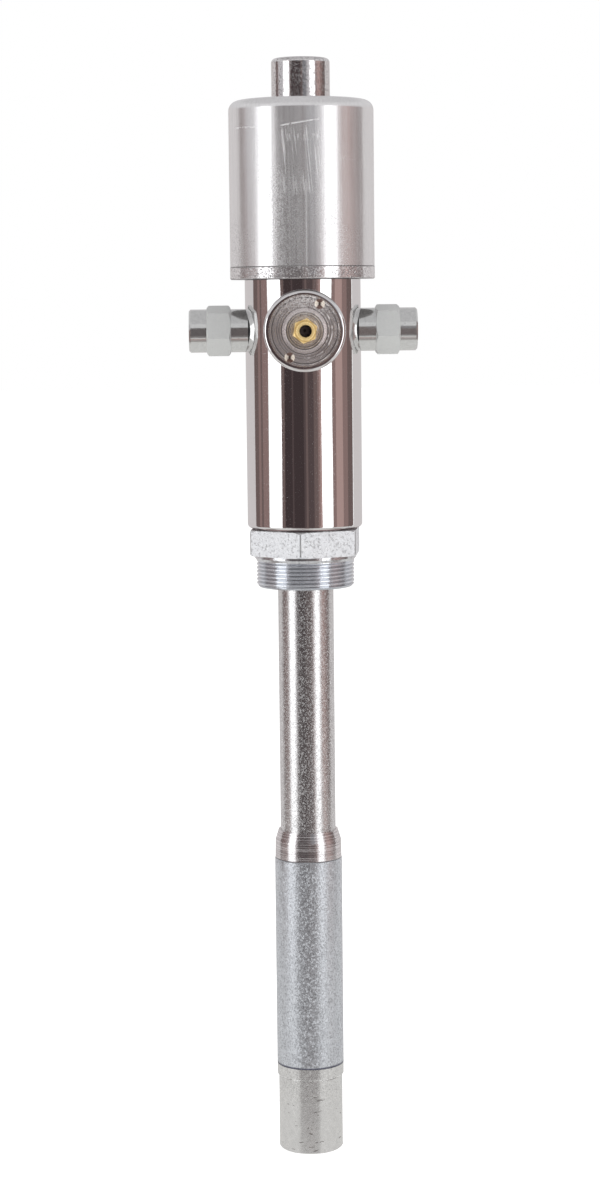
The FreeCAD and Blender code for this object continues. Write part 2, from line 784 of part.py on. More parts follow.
def make_nut(label, flats, bore, low, height):
    """A hexagon nut with both ends chamfered."""
    body = new_body(label)
    add_pad(body, draw_hexagon(new_sketch(body, "XY_Plane", low), flats), height)
    chamfer_hexagon(body, flats, low, low + height, flats / 16, flats / 2, flats / 2)
    cut_pocket(body, draw_circle(new_sketch(body, "XY_Plane", low), bore), height, along_normal=True)
    return body


def make_rods():
    """Chromed piston rod, the thinner rod that hangs from it and the nut that locks them."""
    thread = half("connecting_thread_dia")
    hole_top = ROD_LOW + size("connecting_thread_length")
    rod_end = NUT_TOP + size("rod_end_above_nut")
    rod = turned_piece("piston_rod", [
        (thread, ROD_LOW), (ROD_R, ROD_LOW), (ROD_R, PISTON_LOW), (half("rod_end_dia"), PISTON_LOW),
        (half("rod_end_dia"), rod_end), (0, rod_end), (0, hole_top), (thread, hole_top)])
    soften(rod, "Chamfer", circle_edges(rod, ROD_R, ROD_LOW), FREE * 4)
    soften(rod, "Chamfer", circle_edges(rod, half("rod_end_dia"), rod_end), FREE * 3)
    make_nut("rod_lock_nut", size("lock_nut_flats"), thread, LOCK_NUT_LOW, size("lock_nut_height"))
    slim = half("connecting_dia")
    turned_piece("connecting_rod", [(0, CAGE_ROOF), (slim, CAGE_ROOF), (slim, LOCK_NUT_LOW),
                                    (thread - FIT, LOCK_NUT_LOW), (thread - FIT, hole_top - FREE),
                                    (0, hole_top - FREE)])


def make_packing():
    """Two oil lip seals under a gland ring, between the oil gallery and the air motor."""
    outer = PACKING_R - FIT
    gland_low = HEAD_FLOOR - size("gland_height")
    gland = turned_piece("packing_gland", ring_corners(ROD_R + FREE, outer, gland_low, HEAD_FLOOR))
    spanner = (ROD_R + outer) / 2
    hole = draw_circle(new_sketch(gland, "XY_Plane", HEAD_FLOOR), size("packing_notch"), spanner, 0)
    repeat_round(gland, cut_pocket(gland, hole, size("gland_height") / 2), 2)
    top = gland_low
    for name in ("upper", "lower"):
        low = top - size("packing_height")
        turned_piece(f"{name}_packing_ring", cup_corners(ROD_R + RUN, outer, low, top,
                                                         size("packing_notch"), False))
        top = low


# Chromed body

def make_pump_body():
    """One casting: the tall drum, the chest on its front, the oil gallery and three side ports."""
    body = new_body("pump_body")
    chest = COVER_R + size("chest_wall")
    add_turned(body, [(0, BODY_LOW), (BODY_R, BODY_LOW), (BODY_R, BODY_TOP), (0, BODY_TOP)])
    soften(body, "Fillet", circle_edges(body, BODY_R, BODY_LOW), size("body_round"))
    soften(body, "Chamfer", circle_edges(body, BODY_R, BODY_TOP), FREE)
    add_pad(body, draw_circle(new_sketch(body, "XZ_Plane"), chest, 0, PORT_Z), CHEST_FRONT)
    soften(body, "Fillet", chest_rim(body, chest, CHEST_FRONT), size("chest_edge"))
    packing_low = HEAD_FLOOR - size("gland_height") - size("packing_height") * 2
    room_top = PORT_Z - size("body_room_drop")
    cone_top = room_top + size("body_cone_height")
    cut_turned(body, [(0, BODY_LOW), (LOWER_R, BODY_LOW), (LOWER_R, room_top), (GALLERY_R, cone_top),
                      (GALLERY_R, packing_low), (PACKING_R, packing_low), (PACKING_R, HEAD_FLOOR),
                      (TOP_BORE_R, HEAD_FLOOR), (TOP_BORE_R, BODY_TOP), (0, BODY_TOP)])
    chamber = draw_circle(new_sketch(body, "XZ_Plane", CHAMBER_FLOOR), CHAMBER_R, 0, PORT_Z)
    cut_pocket(body, chamber, CHEST_FRONT - CHAMBER_FLOOR, along_normal=True)
    cover = draw_circle(new_sketch(body, "XZ_Plane", COVER_BACK), COVER_R + FIT, 0, PORT_Z)
    cut_pocket(body, cover, size("cover_thickness"), along_normal=True)
    ports = draw_circle(new_sketch(body, "YZ_Plane"), half("outlet_male_dia"), 0, PORT_Z)
    cut_pocket(body, ports, BODY_R * 2, both_ways=True)
    spot = half("outlet_collar_dia") + size("outlet_spot_gap")
    right = draw_circle(new_sketch(body, "YZ_Plane", OUTLET_SEAT), spot, 0, PORT_Z)
    cut_pocket(body, right, BODY_R, along_normal=True)
    left = draw_circle(new_sketch(body, "YZ_Plane", -OUTLET_SEAT), spot, 0, PORT_Z)
    cut_pocket(body, left, BODY_R)
    exhaust_low = EXHAUST_FLOOR - size("exhaust_thread_length") - FREE
    exhaust = draw_circle(new_sketch(body, "XZ_Plane", -exhaust_low), half("exhaust_thread_dia") + FIT,
                          0, PORT_Z)
    cut_pocket(body, exhaust, BODY_R)
    seat = half("exhaust_head_dia") + size("outlet_spot_gap")
    flat = draw_circle(new_sketch(body, "XZ_Plane", -EXHAUST_FLOOR), seat, 0, PORT_Z)
    cut_pocket(body, flat, BODY_R)
    for offset in (TUBE_OFFSET, LOWER_AIR_OFFSET):
        hole = draw_circle(new_sketch(body, "XY_Plane", HEAD_FLOOR), half("air_hole_dia"), 0, -offset)
        cut_pocket(body, hole, HEAD_FLOOR - PORT_Z)


def chest_rim(body, radius, front):
    """Names of the round edges at the front of the chest."""
    names = []
    for number, edge in enumerate(body.Tip.Shape.Edges, start=1):
        curve = edge.Curve
        if isinstance(curve, Part.Circle) and abs(curve.Radius - radius.value) < 1e-4:
            if abs(curve.Center.y + front.value) < 1e-4:
                names.append(f"Edge{number}")
    return names


# Chest cover and air valve

def make_chest_cover():
    """Screwed cover with a raised boss, two pin-spanner holes and a dished back."""
    body = new_body("chest_cover")
    outer = COVER_R
    boss = half("cover_boss_dia")
    boss_top = boss - size("cover_boss_draft")
    dish = CHAMBER_R - size("cover_dish_step")
    dish_top = COVER_BACK + size("cover_dish_depth")
    shoulder = half("inlet_shoulder_dia")
    thread = half("inlet_thread_dia") + FIT
    add_turned(body, [(dish, COVER_BACK), (outer, COVER_BACK), (outer, COVER_FACE), (boss, COVER_FACE),
                      (boss_top, BOSS_FACE), (thread, BOSS_FACE), (thread, SCREEN_BACK),
                      (shoulder, SCREEN_BACK), (shoulder, dish_top), (dish, dish_top)])
    soften(body, "Chamfer", circle_edges(body, outer, COVER_FACE), size("cover_edge"))
    soften(body, "Fillet", circle_edges(body, boss_top, BOSS_FACE), size("cover_boss_round"))
    across = size("pin_hole_radius") / 2
    up = size("pin_hole_radius") * root(3) / 2
    hole = draw_circle(new_sketch(body, "XY_Plane", COVER_FACE), half("pin_hole_dia"), across, up)
    pocket = cut_pocket(body, hole, size("pin_hole_depth"), taper=-size("pin_hole_cone"))
    repeat_round(body, pocket, 2)
    place(body, FORWARD, PORT_Z)
    seal_inner = dish + FREE
    turned_piece("chest_seal", ring_corners(seal_inner, CHAMBER_R - FIT, SEAL_BACK, COVER_BACK),
                 FORWARD, PORT_Z)


def make_air_inlet():
    """Brass nipple in the cover's boss and the fine screen behind it."""
    body = new_body("air_inlet_nipple")
    bore = half("nipple_bore")
    stem = half("inlet_thread_dia")
    flats = size("nipple_flats")
    hex_top = BOSS_FACE + size("nipple_hex")
    nose_top = hex_top + size("nipple_nose")
    nose = half("nipple_nose_dia")
    add_pad(body, draw_hexagon(new_sketch(body, "XY_Plane", BOSS_FACE), flats), size("nipple_hex"))
    chamfer_hexagon(body, flats, BOSS_FACE, hex_top, flats / 16, None, flats / 2)
    add_turned(body, [(0, SCREEN_FRONT), (stem, SCREEN_FRONT), (stem, BOSS_FACE), (nose, BOSS_FACE),
                      (nose, nose_top), (0, nose_top)])
    soften(body, "Fillet", circle_edges(body, nose, nose_top), size("nipple_edge"))
    cut_turned(body, ring_corners(0, bore, SCREEN_FRONT, nose_top))
    place(body, FORWARD, PORT_Z, size("nipple_turn"))
    screen = new_body("inlet_screen")
    sketch = new_sketch(screen, "XY_Plane", SCREEN_BACK)
    draw_circle(sketch, half("inlet_thread_dia"))
    draw_circle(sketch, half("screen_hole_dia"))
    add_pad(screen, sketch, size("screen_thickness"))
    hole = draw_circle(new_sketch(screen, "XY_Plane", SCREEN_BACK), half("screen_hole_dia"),
                       size("screen_hole_radius"), 0)
    repeat_round(screen, cut_pocket(screen, hole, size("screen_thickness"), along_normal=True), 6)
    place(screen, FORWARD, PORT_Z)


def make_air_valve():
    """Ported plate, valve block, and the spool with its sliding shoe."""
    chamber = CHAMBER_R - FIT
    spool = half("spool_dia")
    plate = new_body("valve_plate")
    disc = draw_circle(new_sketch(plate, "XY_Plane", CHAMBER_FLOOR), chamber)
    add_pad(plate, disc, size("plate_thickness"))
    for step in (-1, 0, 1):
        slot = draw_box(new_sketch(plate, "XY_Plane", BLOCK_BACK), size("valve_slot_width"),
                        size("valve_slot_height"), 0, size("valve_slot_pitch") * step)
        cut_pocket(plate, slot, size("plate_thickness"))
    place(plate, FORWARD, PORT_Z)

    block = new_body("valve_block")
    block_height = size("block_thickness")
    add_pad(block, draw_circle(new_sketch(block, "XY_Plane", BLOCK_BACK), chamber), block_height)
    bore = draw_circle(new_sketch(block, "XZ_Plane"), spool, 0, SPOOL_AXIS)
    cut_pocket(block, bore, CHAMBER_R * 2, both_ways=True)
    window = draw_box(new_sketch(block, "XY_Plane", BLOCK_BACK), size("window_width"), size("window_height"))
    cut_pocket(block, window, size("spool_depth"), along_normal=True)
    inlet = draw_circle(new_sketch(block, "XY_Plane", SEAL_BACK), half("block_inlet_dia"))
    cut_pocket(block, inlet, block_height - size("spool_depth"))
    place(block, FORWARD, PORT_Z)

    # The spool rests low in its bore: its middle lies half its travel below the port's axis
    drop = half("spool_travel")
    low = -half("spool_length") - drop
    top = half("spool_length") - drop
    waist_half = size("shoe_height") / 2 + FIT * 2
    waist = half("spool_waist_dia")
    land = spool - RUN
    spool_piece = turned_piece("valve_spool", [
        (0, low), (land, low), (land, -waist_half - drop), (waist, -waist_half - drop),
        (waist, waist_half - drop), (land, waist_half - drop), (land, top), (0, top)])
    spool_piece.Placement.Base.y = -SPOOL_AXIS.value
    spool_piece.setExpression("Placement.Base.y", (-SPOOL_AXIS).text)
    spool_piece.setExpression("Placement.Base.z", PORT_Z.text)

    shoe = new_body("valve_shoe")
    shoe_low = BLOCK_BACK + RUN
    shoe_top = SPOOL_AXIS - waist / 2
    width = size("shoe_width")
    tall = size("shoe_height")
    outline = draw_box(new_sketch(shoe, "XY_Plane", shoe_low), width, tall, 0, -drop)
    add_pad(shoe, outline, shoe_top - shoe_low)
    channel = draw_circle(new_sketch(shoe, "XZ_Plane"), waist + FIT * 2, 0, SPOOL_AXIS)
    cut_pocket(shoe, channel, CHAMBER_R * 2, both_ways=True)
    wall = size("shoe_wall") * 2
    pocket = draw_box(new_sketch(shoe, "XY_Plane", shoe_low), width - wall, tall - wall, 0, -drop)
    cut_pocket(shoe, pocket, size("shoe_pocket"), along_normal=True)
    place(shoe, FORWARD, PORT_Z)


def make_exhaust():
    """Porous silencer screwed into the back of the body."""
    body = new_body("exhaust_silencer")
    floor = EXHAUST_FLOOR
    stem = half("exhaust_thread_dia")
    head = half("exhaust_head_dia")
    top = floor + size("exhaust_head_height")
    stem_end = floor - size("exhaust_thread_length")
    add_turned(body, [(0, stem_end), (stem, stem_end), (stem, floor), (head, floor), (head, top), (0, top)])
    soften(body, "Fillet", circle_edges(body, head, top), size("exhaust_head_height") / 2)
    slot = draw_box(new_sketch(body, "XY_Plane", top), size("exhaust_head_dia") * 2, size("exhaust_slot"))
    cut_pocket(body, slot, size("exhaust_slot"))
    place(body, BACKWARD, PORT_Z)


# Oil outlets

def make_outlet(side, rotation, turn):
    """Adapter turned from hexagon bar, screwed into the body on a bonded seal."""
    body = new_body(f"{side}_outlet_adapter")
    inner = OUTLET_HEX_INNER
    outer = OUTLET_HEX_OUTER
    tip = OUTLET_TIP
    flats = size("outlet_flats")
    collar = half("outlet_collar_dia")
    male = half("outlet_male_dia") - FIT
    male_end = OUTLET_MALE_END
    add_pad(body, draw_hexagon(new_sketch(body, "XY_Plane", inner), flats), outer - inner)
    chamfer_hexagon(body, flats, inner, outer, size("outlet_hex_chamfer"), flats / 2, flats / 2)
    add_turned(body, [(0, male_end), (male, male_end), (male, COLLAR_BACK), (collar, COLLAR_BACK),
                      (collar, tip), (0, tip)])
    soften(body, "Chamfer", circle_edges(body, collar, tip), size("outlet_chamfer"))
    female = half("outlet_female_dia")
    female_floor = tip - size("outlet_female_depth")
    bore = half("outlet_bore")
    cut_turned(body, [(0, male_end), (bore, male_end), (bore, female_floor), (female, female_floor),
                      (female, tip), (0, tip)])
    place(body, rotation, PORT_Z, turn)
    turned_piece(f"{side}_outlet_seal", ring_corners(male + FIT, collar - FREE, OUTLET_SEAT, COLLAR_BACK),
                 rotation, PORT_Z)


# Bung adapter and the tubes under it

def make_bung_adapter():
    """Big hexagon with the bung thread under it and the spigot that screws into the body."""
    body = new_body("bung_adapter")
    flats = size("bung_flats")
    add_pad(body, draw_hexagon(new_sketch(body, "XY_Plane"), flats), HEX_TOP)
    face = half("bung_face_dia")
    chamfer_hexagon(body, flats, as_size(0), HEX_TOP, size("bung_hex_chamfer"), face, face)
    collar = half("bung_collar_dia")
    thread = half("bung_thread_dia")
    chamfer = size("bung_thread_chamfer")
    neck = BODY_R - size("bung_neck_step")
    spigot = LOWER_R - FIT
    spigot_top = BODY_LOW + size("bung_spigot_height")
    seat = size("bung_riser_seat")
    riser_hole = RISER_R + FIT
    add_turned(body, [(0, THREAD_END), (thread - chamfer, THREAD_END), (thread, THREAD_END + chamfer),
                      (thread, -size("bung_taper_depth")), (collar, -size("bung_collar_depth")),
                      (collar, HEX_TOP), (neck, HEX_TOP), (neck, BODY_LOW), (spigot, BODY_LOW),
                      (spigot, spigot_top), (0, spigot_top)])
    groove_ring(body, spigot, BODY_LOW + RING_WIDTH, RING_WIDTH, RING_DEPTH)
    cut_turned(body, [(0, THREAD_END), (riser_hole, THREAD_END), (riser_hole, seat), (BORE_R, seat),
                      (BORE_R, spigot_top), (0, spigot_top)])
    place(body, turn=size("bung_hex_turn"))
    rubber_ring("body_seal", spigot - RING_DEPTH, RING_SECTION, BODY_LOW + RING_WIDTH)


def make_tubes():
    """Riser tube, the coupling that widens to the barrel, and the barrel itself."""
    insert_low = RISER_LOW - size("riser_insert")
    turned_piece("riser_tube", ring_corners(BORE_R, RISER_R, insert_low, size("bung_riser_seat")))

    coupling = new_body("tube_coupling")
    socket = RISER_R + FIT
    outer = RISER_R + size("coupling_wall")
    lip = socket + size("coupling_lip")
    shoulder = RISER_LOW - size("coupling_shoulder")
    spigot = SOCKET_R - FIT
    spigot_low = BARREL_TOP - size("spigot_length")
    waist = outer - size("coupling_waist") / 2
    add_turned(coupling, [(socket, RISER_LOW), (lip, RISER_LOW), (waist, shoulder), (outer, BARREL_TOP),
                          (spigot, BARREL_TOP), (spigot, spigot_low), (BORE_R, spigot_low),
                          (BORE_R, insert_low), (socket, insert_low)])
    soften(coupling, "Fillet", circle_edges(coupling, waist, shoulder), size("coupling_round"))
    mark_half = size("coupling_mark_width") / 2
    for rise in (size("coupling_mark_low"), size("coupling_mark_low") + size("coupling_mark_pitch")):
        middle = BARREL_TOP + rise
        cut_turned(coupling, ring_corners(outer - size("coupling_mark_depth"), outer + FREE,
                                          middle - mark_half, middle + mark_half))
    groove_ring(coupling, spigot, BARREL_TOP - size("spigot_length") / 2, RING_WIDTH, RING_DEPTH / 2)
    turned_piece("coupling_seal", ring_corners(spigot - RING_DEPTH / 2 + FIT, spigot,
                                               BARREL_TOP - size("spigot_length") / 2 - RING_SECTION / 2,
                                               BARREL_TOP - size("spigot_length") / 2 + RING_SECTION / 2))

    outer = BARREL_OUTER
    barrel = turned_piece("pump_barrel", [
        (SOCKET_R, BARREL_LOW), (outer, BARREL_LOW), (outer, BARREL_TOP), (SOCKET_R, BARREL_TOP),
        (SOCKET_R, spigot_low), (BARREL_R, spigot_low), (BARREL_R, FOOT_SPIGOT_TOP),
        (SOCKET_R, FOOT_SPIGOT_TOP)])
    for height in (BARREL_LOW, BARREL_TOP):
        soften(barrel, "Chamfer", circle_edges(barrel, outer, height), FREE)


# Lower piston and its ball

def make_plunger():
    """Lower piston with two lip seals, its windowed cage, ball and stop pin."""
    body = new_body("pump_piston")
    outer = BARREL_R - FREE
    seat = half("plunger_seat_dia")
    chamber = BALL_CHAMBER_R
    cage = CAGE_R
    add_turned(body, [(seat, PLUNGER_LOW), (outer, PLUNGER_LOW), (outer, PLUNGER_TOP), (cage, PLUNGER_TOP),
                      (cage, CAGE_LOW), (chamber, CAGE_LOW), (chamber, PLUNGER_SEAT), (seat, PLUNGER_SEAT)])
    seal_height = size("plunger_seal_height")
    groove_half = seal_height / 2 + FIT
    inner = BARREL_R - RUN - size("plunger_seal_wall")
    for step, name in enumerate(("lower", "upper")):
        middle = PLUNGER_LOW + size("plunger_seal_low") + size("plunger_seal_pitch") * step
        cut_turned(body, ring_corners(inner - FIT, BARREL_R, middle - groove_half, middle + groove_half))
        corners = cup_corners(inner, BARREL_R - RUN, middle - seal_height / 2, middle + seal_height / 2,
                              size("packing_notch"), True)
        turned_piece(f"{name}_plunger_seal", corners)
    pin_hole = draw_circle(new_sketch(body, "YZ_Plane"), half("stop_pin_dia") + FIT, 0, STOP_PIN_Z)
    cut_pocket(body, pin_hole, BARREL_OUTER * 2, both_ways=True)
    cross_pin("piston_stop_pin", size("stop_pin_dia"), (outer - FREE) * 2, STOP_PIN_Z)

    holder = new_body("piston_cage")
    rod_hole = half("connecting_dia") + FIT
    add_turned(holder, [(chamber, CAGE_LOW), (cage - FIT, CAGE_LOW), (cage - FIT, CAGE_TOP),
                        (rod_hole, CAGE_TOP), (rod_hole, CAGE_ROOF), (chamber, CAGE_ROOF)])
    soften(holder, "Chamfer", circle_edges(holder, cage - FIT, CAGE_TOP), FREE * 5)
    window_middle = PLUNGER_TOP + size("cage_window_height") / 2 + FREE * 3
    window = draw_box(new_sketch(holder, "YZ_Plane"), size("cage_window"), size("cage_window_height"),
                      0, window_middle)
    repeat_round(holder, cut_pocket(holder, window, BARREL_R, along_normal=True), 4)
    ball("piston_ball", size("piston_ball_dia"), PISTON_BALL_Z)


# Foot valve

def make_foot():
    """Foot valve body with its ball, stop pin, seat, strainer and retaining ring."""
    body = new_body("foot_valve_body")
    spigot = SOCKET_R - FIT
    ring = BARREL_OUTER - size("foot_ring_step")
    outer = FOOT_R
    groove = size("foot_groove")
    cage = FOOT_BALL_R + size("foot_cage_gap")
    inlet = half("foot_inlet_dia")
    room = inlet - size("foot_seat_step")
    add_turned(body, [(cage, FOOT_SPIGOT_TOP), (spigot, FOOT_SPIGOT_TOP), (spigot, BARREL_LOW),
                      (ring, BARREL_LOW), (ring, RING_LOW), (outer - groove, RING_LOW),
                      (outer - groove, RING_LOW - groove), (outer, RING_LOW - groove), (outer, FOOT_LOW),
                      (inlet, FOOT_LOW), (inlet, RETAINER_LOW), (room, RETAINER_LOW), (room, FOOT_SEAT),
                      (cage, FOOT_SEAT)])
    soften(body, "Chamfer", circle_edges(body, outer, FOOT_LOW), size("foot_chamfer"))
    soften(body, "Chamfer", circle_edges(body, ring, RING_LOW), FREE)
    pin_hole = draw_circle(new_sketch(body, "YZ_Plane"), half("foot_pin_dia") + FIT, 0, FOOT_PIN_Z)
    cut_pocket(body, pin_hole, BARREL_OUTER * 2, both_ways=True)
    cross_pin("ball_stop_pin", size("foot_pin_dia"), (spigot - FIT) * 2, FOOT_PIN_Z)
    ball("foot_ball", size("foot_ball_dia"), FOOT_BALL_Z)

    fitted = room - FIT
    seat = new_body("foot_valve_seat")
    middle = FOOT_SEAT - size("foot_seat_height") / 2
    add_turned(seat, ring_corners(half("foot_seat_bore"), fitted, SEAT_LOW, FOOT_SEAT))
    groove_ring(seat, fitted, middle, RING_WIDTH, RING_DEPTH)
    rubber_ring("seat_seal", fitted - RING_DEPTH, RING_SECTION, middle)

    strainer = new_body("suction_strainer")
    sketch = new_sketch(strainer, "XY_Plane", STRAINER_LOW)
    draw_circle(sketch, fitted)
    draw_circle(sketch, half("strainer_hole_dia"))
    add_pad(strainer, sketch, size("strainer_thickness"))
    outer_ring = fitted - size("strainer_rim")
    for radius, count in ((outer_ring / 2, 6), (outer_ring, 12)):
        hole = draw_circle(new_sketch(strainer, "XY_Plane", STRAINER_LOW), half("strainer_hole_dia"),
                           radius, 0)
        cut = cut_pocket(strainer, hole, size("strainer_thickness"), along_normal=True)
        repeat_round(strainer, cut, count)

    bore = half("retainer_bore")
    retainer = turned_piece("seat_retainer", ring_corners(bore, fitted, RETAINER_LOW, STRAINER_LOW))
    slot = draw_box(new_sketch(retainer, "XY_Plane", RETAINER_LOW), FOOT_R * 2, size("retainer_slot"))
    cut_pocket(retainer, slot, size("retainer_height") / 2, along_normal=True)


make_motor_cylinder()
make_top_cap()
make_cylinder_base()
make_air_tube()
make_air_piston()
make_rods()
make_packing()
make_pump_body()
make_chest_cover()
make_air_inlet()
make_air_valve()
make_exhaust()
make_outlet("right", TO_RIGHT, size("right_hex_turn"))
make_outlet("left", TO_LEFT, size("left_hex_turn"))
make_bung_adapter()
make_tubes()
make_plunger()
make_foot()

doc.recompute()
for item in doc.Objects:
    if "Invalid" in item.State or "Error" in item.State:
        raise RuntimeError(f"{item.Label} failed: {item.State}")
for piece in nodes:
    if piece.Shape.isNull() or not piece.Shape.isValid():
        raise RuntimeError(f"{piece.Label} has no valid shape")

os.makedirs("parts", exist_ok=True)
for piece in nodes:
    piece.Shape.exportStep(f"parts/{piece.Label}.step")
    print(piece.Label, len(piece.Shape.Solids), round(piece.Shape.Volume, 1))
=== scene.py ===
import math
import bmesh
import bpy
from mathutils import Matrix, Vector


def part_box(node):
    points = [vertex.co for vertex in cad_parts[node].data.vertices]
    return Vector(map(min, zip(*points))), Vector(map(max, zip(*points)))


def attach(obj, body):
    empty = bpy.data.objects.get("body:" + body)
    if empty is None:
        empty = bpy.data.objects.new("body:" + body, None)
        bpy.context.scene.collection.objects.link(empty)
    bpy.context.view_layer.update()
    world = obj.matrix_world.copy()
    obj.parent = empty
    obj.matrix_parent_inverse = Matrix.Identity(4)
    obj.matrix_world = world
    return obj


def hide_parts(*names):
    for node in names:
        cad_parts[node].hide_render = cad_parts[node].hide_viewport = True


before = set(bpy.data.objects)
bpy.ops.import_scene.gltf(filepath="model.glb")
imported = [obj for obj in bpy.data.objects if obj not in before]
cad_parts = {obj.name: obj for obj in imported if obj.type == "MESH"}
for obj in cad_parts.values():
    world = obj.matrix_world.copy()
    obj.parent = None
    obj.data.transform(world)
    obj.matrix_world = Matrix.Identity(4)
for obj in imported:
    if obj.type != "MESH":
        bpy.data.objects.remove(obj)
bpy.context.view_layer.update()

# Sizes that the looks share with the solids, in metres
THREAD_PITCH = 0.002309
THREAD_CREST = 0.0298
THREAD_ROOT = 0.0289
THREAD_TOP = -0.0034
THREAD_END = -0.0198
THREAD_LEAD = 0.0016
THREAD_STEPS = 160
RUN_OUT_START = THREAD_TOP - 0.0005
RUN_OUT_SLOPE = 1.2
# One ridge's outline, as shares of the pitch up and of the depth out
THREAD_FORM = (
    (0.0, 0.0), (0.07, 0.0), (0.18, 0.2), (0.30, 0.8), (0.40, 1.0), (0.60, 1.0), (0.70, 0.8), (0.82, 0.2),
    (0.93, 0.0))
RISER_HOLE = 0.01705
BORE_STEPS = 96
NECK_LOW = 0.0156
HEX_WIDTH = 0.064
HEX_CORNER = HEX_WIDTH / math.sqrt(3)
HEX_EASE = 0.0004
CORNER_SLACK = 0.0003
CYLINDER_RADIUS = 0.0436
NIPPLE_BORE = 0.0035
PORT_Z = 0.136
PIN_HOLE_PLACE = (0.00905, 0.01567)
PIN_HOLE_RIM = 0.0031
ADAPTER_HEX_INNER = 0.0438
ADAPTER_HEX_OUTER = 0.0583
RIM_UP = 0.0080
RIM_HEIGHT = 0.0074
FOOT_RING_HEIGHT = 0.0071

# How close points are welded, taken as cut, and taken as level, in metres, and from where an edge is sharp
WELD = 1e-6
ON_CUT = 1e-7
LEVEL = 1e-5
SHARP_DEGREES = 32

# Heights where pieces end, in metres
FLOOR_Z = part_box("foot_valve_body")[0].z
BODY_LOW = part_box("pump_body")[0].z
BARREL_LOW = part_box("pump_barrel")[0].z
BARREL_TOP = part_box("pump_barrel")[1].z
RIM_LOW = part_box("cylinder_base")[0].z + RIM_UP
RIM_TOP = RIM_LOW + RIM_HEIGHT
FOOT_RING_LOW = BARREL_LOW - FOOT_RING_HEIGHT

# Marks on the air cylinder: start, end and fading edge round it from its front, then the same up it
SPECKLED = ((-0.016, -0.003, 0.006), (0.172, 0.222, 0.014))
RUBBED = ((-0.011, 0.010, 0.003), (0.219, 0.252, 0.004))
TICKED = ((-0.013, 0.012, 0.001), (0.2472, 0.2504, 0.0008))
SCUFF = ((-0.012, 0.009, 0.002), (0.2574, 0.2579, 0.0003))
SCUFF_LEAN = 0.16
SIDE_SCUFF = ((-0.048, -0.028, 0.002), (0.2552, 0.2558, 0.0003))
DRAWN_LINE = (0.0015, 0.0017, 0.0003)
DRAWN_LINE_TOP = 0.2245

# How metallic the air cylinder is where it has no marks
SATIN_METAL = 0.79

# Tones of the studio, as light
WHITE = (1.75, 1.75, 1.78)
PALE = (0.60, 0.57, 0.57)
TAN = (0.40, 0.28, 0.26)
BROWN = (0.24, 0.165, 0.155)
UMBER = (0.145, 0.105, 0.10)
BLACK = (0.050, 0.036, 0.037)
SMOKE = (0.085, 0.062, 0.062)
SOFT_BOX = (0.62, 0.61, 0.62)
RUST = (0.34, 0.22, 0.20)
DEEP = (0.30, 0.27, 0.26)
SHADE = (0.13, 0.11, 0.11)
LILAC = (0.50, 0.485, 0.50)
SLATE = (0.20, 0.20, 0.215)
OVERHEAD = (0.50, 0.49, 0.50)
GROUND = (0.62, 0.61, 0.60)

# Heights where the studio's cards begin and end, how far they stand from the pump, and its floor and light
PIT = -1.9
DEEP_TOP = -1.2
RUST_TOP = -0.95
FOOT_LINE = -0.765
KNEE = -0.47
BRIM = 0.20
BROW = 0.50
CEILING = 1.10
FAR = 1.25
NEAR = 1.2
CARD_STEP_DEGREES = 4
FLOOR_REACH = 14.0
FLOOR_GAP = 0.0002
FLOOR_GLOW = 0.66
WORLD_GLOW = 0.55


class Wire:
    """A node's output that takes part in sums written as Python expressions."""

    def __init__(self, finish, socket):
        self.finish = finish
        self.socket = socket

    def maths(self, operation, *values):
        return self.finish.maths(operation, *values)

    def __add__(self, other):
        return self.maths("ADD", self, other)

    def __radd__(self, other):
        return self.maths("ADD", other, self)

    def __sub__(self, other):
        return self.maths("SUBTRACT", self, other)

    def __rsub__(self, other):
        return self.maths("SUBTRACT", other, self)

    def __mul__(self, other):
        return self.maths("MULTIPLY", self, other)

    def __rmul__(self, other):
        return self.maths("MULTIPLY", other, self)

    def power(self, other):
        return self.maths("POWER", self, other)

    def clamped(self):
        return self.finish.node("ShaderNodeClamp", {}, {"Value": self})


